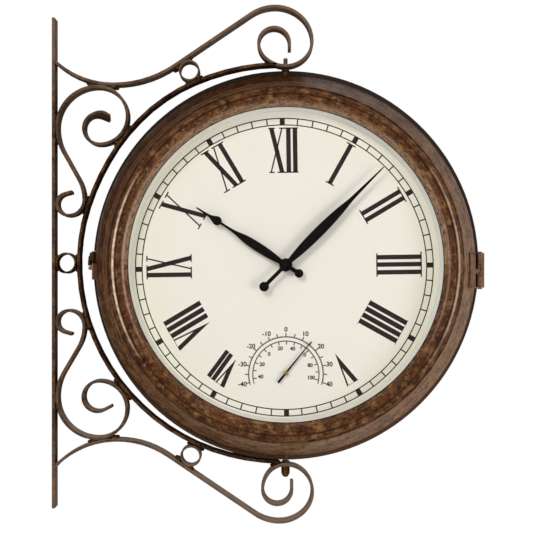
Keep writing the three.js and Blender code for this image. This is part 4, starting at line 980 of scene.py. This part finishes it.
for radius in (TRACK_OUT, TRACK_IN):
    ink_arc((PRINT_X, PRINT_Z), radius, TRACK_LINE, 0, 360)
for minute in range(60):
    width = HOUR_BLOCK if minute % 5 == 0 else MINUTE_TICK
    ink_stroke(on_print(minute * 6, 0, TRACK_IN), on_print(minute * 6, 0, TRACK_OUT), width)
for hour, (head, foot, strokes, head_serifs, foot_serifs) in NUMBERS.items():
    for width, top, low in strokes:
        lean = cos(atan2(top - low, head - foot))
        ink_stroke(at_hour(hour, low, foot), at_hour(hour, top, head), width * lean)
    for radius, serifs in ((head, head_serifs), (foot, foot_serifs)):
        for left, right in serifs:
            ink_stroke(at_hour(hour, left, radius), at_hour(hour, right, radius), SERIF)
for hour, strokes in PLAIN_STROKES.items():
    for head, foot, width in strokes:
        ink_stroke(at_hour(hour, *foot), at_hour(hour, *head), width)
for hour, points in VEES.items():
    ink.append(plate("vee", [at_hour(hour, *point) for point in points], DIAL_DEPTH, INK))
print("ink strokes", len(ink))

# %% [markdown]
# The little thermometer has two scales about its pointer: degrees Celsius outside and degrees Fahrenheit
# inside. Its figures are text objects made into meshes.

# %% Thermometer scales
THERMO = (0.2, -THERMO_DROP - 1.1)
CELSIUS_ARC, FAHRENHEIT_ARC, SCALE_LINE, SCALE_END = 35.9, 32.1, 0.85, 107
CELSIUS_TURN, FAHRENHEIT_TURN, FAHRENHEIT_TOP = 2.58, 1.415, 29.2
FIGURE_BOLD = 0.2


def on_thermometer(angle, radius):
    angle = radians(angle)
    return (THERMO[0] + radius * sin(angle), THERMO[1] + radius * cos(angle))


def figure(words, angle, radius, size, lift=0.0):
    """Adds a printed figure, upright on the dial, centred at its place."""
    nothing_selected()
    bpy.ops.object.text_add(rotation=(UP, 0, 0))
    text = bpy.context.object
    text.data.body = words
    text.data.size = size * MM
    text.data.align_x = text.data.align_y = "CENTER"
    text.data.extrude = INK / 2 * MM
    text.data.offset = FIGURE_BOLD * MM
    x, z = on_thermometer(angle, radius)
    text.location = case_place(x, -DIAL_DEPTH - INK / 2, z + lift)
    bpy.ops.object.convert(target="MESH")
    ink.append(bpy.context.object)


for radius in (CELSIUS_ARC, FAHRENHEIT_ARC):
    ink_arc(THERMO, radius, SCALE_LINE, -SCALE_END, SCALE_END)
for degree in range(-40, 41):
    reach, width = (39.8, 1.0) if degree % 5 == 0 else (37.0, 0.7)
    angle = degree * CELSIUS_TURN
    ink_stroke(on_thermometer(angle, CELSIUS_ARC), on_thermometer(angle, reach), width)
    if degree % 10 == 0:
        figure(str(degree), angle, 43.1, 6.2)
for degree in range(-40, 101, 2):
    reach, width = (28.6, 0.95) if degree % 10 == 0 else (31.0, 0.4)
    angle = (degree - FAHRENHEIT_TOP) * FAHRENHEIT_TURN
    ink_stroke(on_thermometer(angle, FAHRENHEIT_ARC), on_thermometer(angle, reach), width)
    if degree % 20 == 0:
        figure(str(abs(degree)), angle, 24.6, 5.0, 0.8)
front_print = joined("front_dial_ink", ink)
bpy.data.objects.remove(ink_bar)
only(front_print)
settle()
print("print faces", len(front_print.data.polygons))

# %% [markdown]
# The rear dial carries the same print. A copy is turned half round the case's upright axis, so that it
# reads the right way from behind.

# %% Rear print


def turned_to_rear(obj, name):
    """A copy with its own mesh, turned half round the case's upright axis."""
    copy = obj.copy()
    copy.data = obj.data.copy()
    copy.name = copy.data.name = name
    in_scene(copy)
    only(copy)
    copy.rotation_euler = (0, 0, pi)
    copy.location = place(2 * CASE_X, 0, 0)
    settle()
    return copy


rear_print = turned_to_rear(front_print, "rear_dial_ink")
dressed(front_print, dial_ink, "door")
dressed(rear_print, dial_ink, "case")

# %% [markdown]
# Both hands are leaf-shaped blades pressed from thin sheet, with a round counterweight, a hub and, on the
# hour hand, a round bulb under its point. Every part lies on the hand's middle line, so the outline at
# any height is simply the widest of them. The edges are eased, as pressing leaves them.

# %% Hands
HAND_THICK, HAND_EDGE, THINNEST = 0.8, 0.18, 0.8


def width_at(z, stations):
    """The blade's width at a height, curved smoothly from station to station."""
    if z <= stations[0][0]:
        return stations[0][1]
    for i, ((z0, w0), (z1, w1)) in enumerate(zip(stations, stations[1:])):
        if z <= z1:
            before, after = stations[max(i - 1, 0)], stations[min(i + 2, len(stations) - 1)]
            rise, fall = (w1 - before[1]) / (z1 - before[0]), (after[1] - w0) / (after[0] - z0)
            t, span = (z - z0) / (z1 - z0), z1 - z0
            bend = w0 * (2 * t**3 - 3 * t**2 + 1) + w1 * (3 * t**2 - 2 * t**3)
            return max(bend + span * (rise * (t**3 - 2 * t**2 + t) + fall * (t**3 - t**2)), THINNEST)
    return stations[-1][1]


def hand_outline(stations, discs):
    """The outline of (across, up) from the tail up the right side and down the left."""
    low, tip = min(z - r for z, r in discs), stations[-1][0]
    heights = {low + (tip - low) * i / 110 for i in range(111)} | {tip}
    for z, r in discs:
        heights.update(z - r * cos(radians(a)) for a in range(0, 181, 12))
    right = []
    for z in sorted(h for h in heights if low <= h <= tip):
        half = width_at(z, stations) / 2 if z > stations[0][0] else 0.0
        for centre, radius in discs:
            if abs(z - centre) < radius:
                half = max(half, sqrt(radius**2 - (z - centre) ** 2))
        right.append((max(half, 0.02), z))
    return right + [(-x, z) for x, z in reversed(right)]


def swung(outline, turn, drop=0.0):
    """An outline turned clockwise about its hub, which may lie lower on the dial."""
    sine, cosine = sin(radians(turn)), cos(radians(turn))
    return [(x * cosine + z * sine, z * cosine - x * sine - drop) for x, z in outline]


def hand(name, stations, discs, height, turn):
    return plate(name, swung(hand_outline(stations, discs), turn), DIAL_DEPTH + height, HAND_THICK, HAND_EDGE)


# how wide each blade is at each height above the hub
MINUTE_BLADE = [
    (-29.6, 3.8), (0, 3.8), (6, 5.2), (20, 8.2), (34, 9.6), (50, 9.8), (64, 8.7), (76, 6.9), (88, 4.2), (96, 3.4),
    (133.4, 1.0),
]
HOUR_BLADE = [
    (-15.1, 4.2), (0, 4.2), (6, 5.0), (12, 6.6), (20, 8.1), (30, 8.8), (40, 8.4), (48, 7.0), (56, 4.1), (62, 2.8),
    (75, 2.8), (76, 5.5), (79.4, 8.6), (84, 4.8), (88, 2.6), (102.4, 1.4),
]
front_minute = hand("front_minute_blade", MINUTE_BLADE, [(0, 6.3), (-29.6, 4.7)], 8.6, 45)
front_hour = hand("front_hour_blade", HOUR_BLADE, [(0, 6.3), (-15.1, 4.2), (78.6, 4.35)], 6.2, -57.3)
tube_outline = [(1.7, -29), (2.6, -29), (2.6, -18.6), (1.7, -18.6)]
tube = turned("tube", tube_outline, HUB, DIAL_AXIS, 32)
front_hour = joined("front_hour_blade", [front_hour, tube])
cap_outline = [
    (0, -31.7), (3.3, -31.7), (3.4, -31.9), (3.4, -33.0), (3.2, -33.5), (2.6, -33.9), (1.4, -34.2), (0, -34.3)
]
front_cap = turned("front_cap_nut", cap_outline, HUB, DIAL_AXIS, 40)
for piece, stands_for, what in (
    (front_minute, "minute_hand", "minute"), (front_hour, "hour_hand", "hour"), (front_cap, "hand_cap", "minute"),
):
    rear = turned_to_rear(piece, piece.name.replace("front", "rear"))
    dressed(piece, hand_black, f"front_{what}", f"front_{stands_for}")
    dressed(rear, hand_black, f"rear_{what}", f"rear_{stands_for}")
print("hands done", len(front_minute.data.polygons), len(front_hour.data.polygons))

# %% [markdown]
# The thermometer's pointer is a thin black needle on a brass hub. It is drawn flat and the hub is turned.

# %% Thermometer pointers
POINTER_TURN = 39
NEEDLE_DEPTH, NEEDLE_THICK, NEEDLE_EDGE = 24.4, 0.5, 0.1

half = [(1.1, -12.0), (1.1, 0.0), (0.9, 4.8), (0.5, 36.0), (0.15, 40.0)]
outline = swung(half + [(-x, z) for x, z in reversed(half)], POINTER_TURN, THERMO_DROP)
blade = plate("front_thermometer_needle", outline, NEEDLE_DEPTH, NEEDLE_THICK, NEEDLE_EDGE)
spindle_outline = [
    (0, -13.9), (0.8, -13.9), (0.8, -23.8), (2.2, -23.8), (2.4, -24.0), (2.4, -25.2), (2.0, -25.5), (0, -25.6)
]
spindle = turned("front_thermometer_hub", spindle_outline, case_place(0, 0, -THERMO_DROP), DIAL_AXIS, 32)
rear_blade = turned_to_rear(blade, "rear_thermometer_needle")
rear_spindle = turned_to_rear(spindle, "rear_thermometer_hub")
for which, needle, hub in (("front", blade, spindle), ("rear", rear_blade, rear_spindle)):
    dressed(needle, hand_black, f"{which}_thermometer")
    dressed(hub, brass, f"{which}_thermometer", f"{which}_thermometer_pointer")
print("pointers done")

# %% [markdown]
# The case hangs between two pivots. A round pin passes the loop above and below, with a spacer between
# strip and case, and a domed nut closes the lower one. All but the nut's six sides are turned pieces.

# %% Pivots
PIVOTS = (
    (
        "top_pivot_rod", "top_pivot_pin", bracket_iron,
        [(0, 173.5), (2.1, 173.5), (2.1, 202.2), (1.8, 202.7), (0, 202.7)],
    ),
    ("bottom_pivot_rod", "bottom_pivot_pin", bracket_iron, [(0, -173.5), (2.1, -173.5), (2.1, -200.5), (0, -200.5)]),
    (
        "top_spacer_bush", "top_spacer", weld_metal,
        [(2.4, 189.8), (3.7, 189.8), (3.8, 190.1), (3.8, 192.2), (3.6, 192.4), (2.4, 192.4)],
    ),
    (
        "bottom_spacer_bush", "bottom_spacer", weld_metal,
        [(2.4, -190.9), (3.7, -190.9), (3.8, -191.2), (3.8, -192.2), (3.6, -192.5), (2.4, -192.5)],
    ),
)
for name, stands_for, finish, outline in PIVOTS:
    dressed(turned(name, outline, HUB, UPRIGHT, 32), finish, "case", stands_for)
nut = rounded(rod("bottom_nut", 4.27, 7.1, case_place(0, 0, -200.2), (0, 0, radians(30)), sides=6), 0.4)
DOME_RADIUS, DOME_FOOT = 3.7, -203.6
dome_points = []
for step in range(0, 91, 15):
    dome_points.append((DOME_RADIUS * sin(radians(step)), DOME_FOOT - DOME_RADIUS * cos(radians(step))))
dome_points += [(DOME_RADIUS, -202.9), (0, -202.9)]
dome = turned("dome", dome_points, HUB, UPRIGHT, 32)
dressed(finished(joined("bottom_dome_nut", [nut, dome])), weld_metal, "case", "bottom_cap_nut")
print("pivots done")

# %% [markdown]
# The hinge leaves and the latch keep the shape of their solids and get softer edges, and the front leaf is
# cut back beside its strap. The pivot blocks, the hinge pin and all that sits behind the dials are right as
# they are, so they only get a finish.

# %% Finishes for the solids that stay
SOFTENED = {
    "rear_hinge_leaf": ("case", case_rust), "front_hinge_leaf": ("door", case_rust),
    "latch_base": ("case", bracket_iron), "latch_lever": ("latch", weld_metal),
    "latch_keeper": ("door", keeper_metal),
}
# the room beside the front leaf's strap: from and to in height, and how far back it is cut
BESIDE_STRAP = ((-25.5, -12.6, 0), (-12.6, -10.6, -4.45), (-5.7, -1.6, -4.45), (-1.6, 11.5, 0))
LATCH_EDGE, LEAF_EDGE = 0.3, 0.12
for name, (body, finish) in SOFTENED.items():
    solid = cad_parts[name]
    copy = bpy.data.objects.new(name + "_softened", solid.data.copy())
    in_scene(copy)
    copy.matrix_world = solid.matrix_world.copy()
    finished(copy)
    if name == "front_hinge_leaf":
        for low, high, depth in BESIDE_STRAP:
            cut_away(copy, block("beside_strap", place(412.3, -15, low), place(417, depth, high)))
    rounded(copy, LATCH_EDGE if "latch" in name else LEAF_EDGE, 40)
    dressed(finished(copy), finish, body, name)
print("softened", len(SOFTENED))

# Two black washers fill the hinge's knuckle gaps: black parts that stand for the shade in those gaps.
HINGE_X = 417.9
washers = []
for height in (0.767, -10.567):
    low, high = height - 0.17, height + 0.17
    outline = [(1.7, low), (4.1, low), (4.1, high), (1.7, high)]
    washers.append(turned("washer", outline, place(HINGE_X, 0, CASE_Z), UPRIGHT, 32))
dressed(finished(joined("hinge_gap_shade_washers", washers)), hand_black, "case", slot="case_rust")

KEPT = {"top_pivot_block": plain_steel, "bottom_pivot_block": plain_steel, "hinge_pin": case_rust}
for _, which, _ in SIDES:
    for part, finish in (
        ("dial_retainer", plain_steel), ("movement", movement_plastic), ("movement_nut", brass),
        ("battery", cell_jacket), ("minute_arbor", plain_steel), ("setting_knob", movement_plastic),
        ("thermometer_cup", plain_steel), ("thermometer_coil", brass),
    ):
        KEPT[f"{which}_{part}"] = finish
for name, finish in KEPT.items():
    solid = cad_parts[name]
    solid.data.materials.clear()
    solid.data.materials.append(finish)
print("solids kept", len(KEPT))

# %% [markdown]
# The clock stands before plain white, as in the photograph. The world is white to the camera and in
# reflections, and a soft grey to everything else. A large soft lamp stands at the upper left, a weaker one
# at the right and one behind. The pale floor lies well below.

# %% World, lamps and floor
DIM_WORLD = 0.5
world = in_hand(bpy.data.worlds.new("studio"))
bpy.context.scene.world = world
rays = node("LightPath").outputs
seen = maths("MAXIMUM", maths("MAXIMUM", rays["Is Camera Ray"], rays["Is Glossy Ray"]), rays["Is Transmission Ray"])
background = tree.nodes["Background"]
plugged(background.inputs["Color"], (1, 1, 1, 1))
plugged(background.inputs["Strength"], maths("MULTIPLY_ADD", seen, 1 - DIM_WORLD, DIM_WORLD))

MIDDLE = (0.22, 0, 0)
# each lamp: its place, size and power
LAMPS = {
    "key": ((-0.7, -2.0, 1.1), 0.9, 22), "fill": ((1.5, -1.2, -0.4), 0.8, 12), "back": ((0.5, 2.0, 0.8), 1.0, 14)
}
for name, (spot, size, power) in LAMPS.items():
    data = bpy.data.lights.new(name, "AREA")
    data.shape, data.size, data.energy = "DISK", size, power
    lamp = bpy.data.objects.new(name, data)
    in_scene(lamp)
    lamp.location = spot
    lamp.rotation_euler = (Vector(MIDDLE) - Vector(spot)).to_track_quat("-Z", "Y").to_euler()

nothing_selected()
bpy.ops.mesh.primitive_plane_add(size=2.2, location=(0.22, 0, -0.45))
floor = named("studio_floor")
floor.data.materials.append(new_finish("pale_floor", (0.86, 0.86, 0.85, 1), roughness=0.7, shine=0.2))
print("lamps", len(LAMPS), "floor", floor.name)
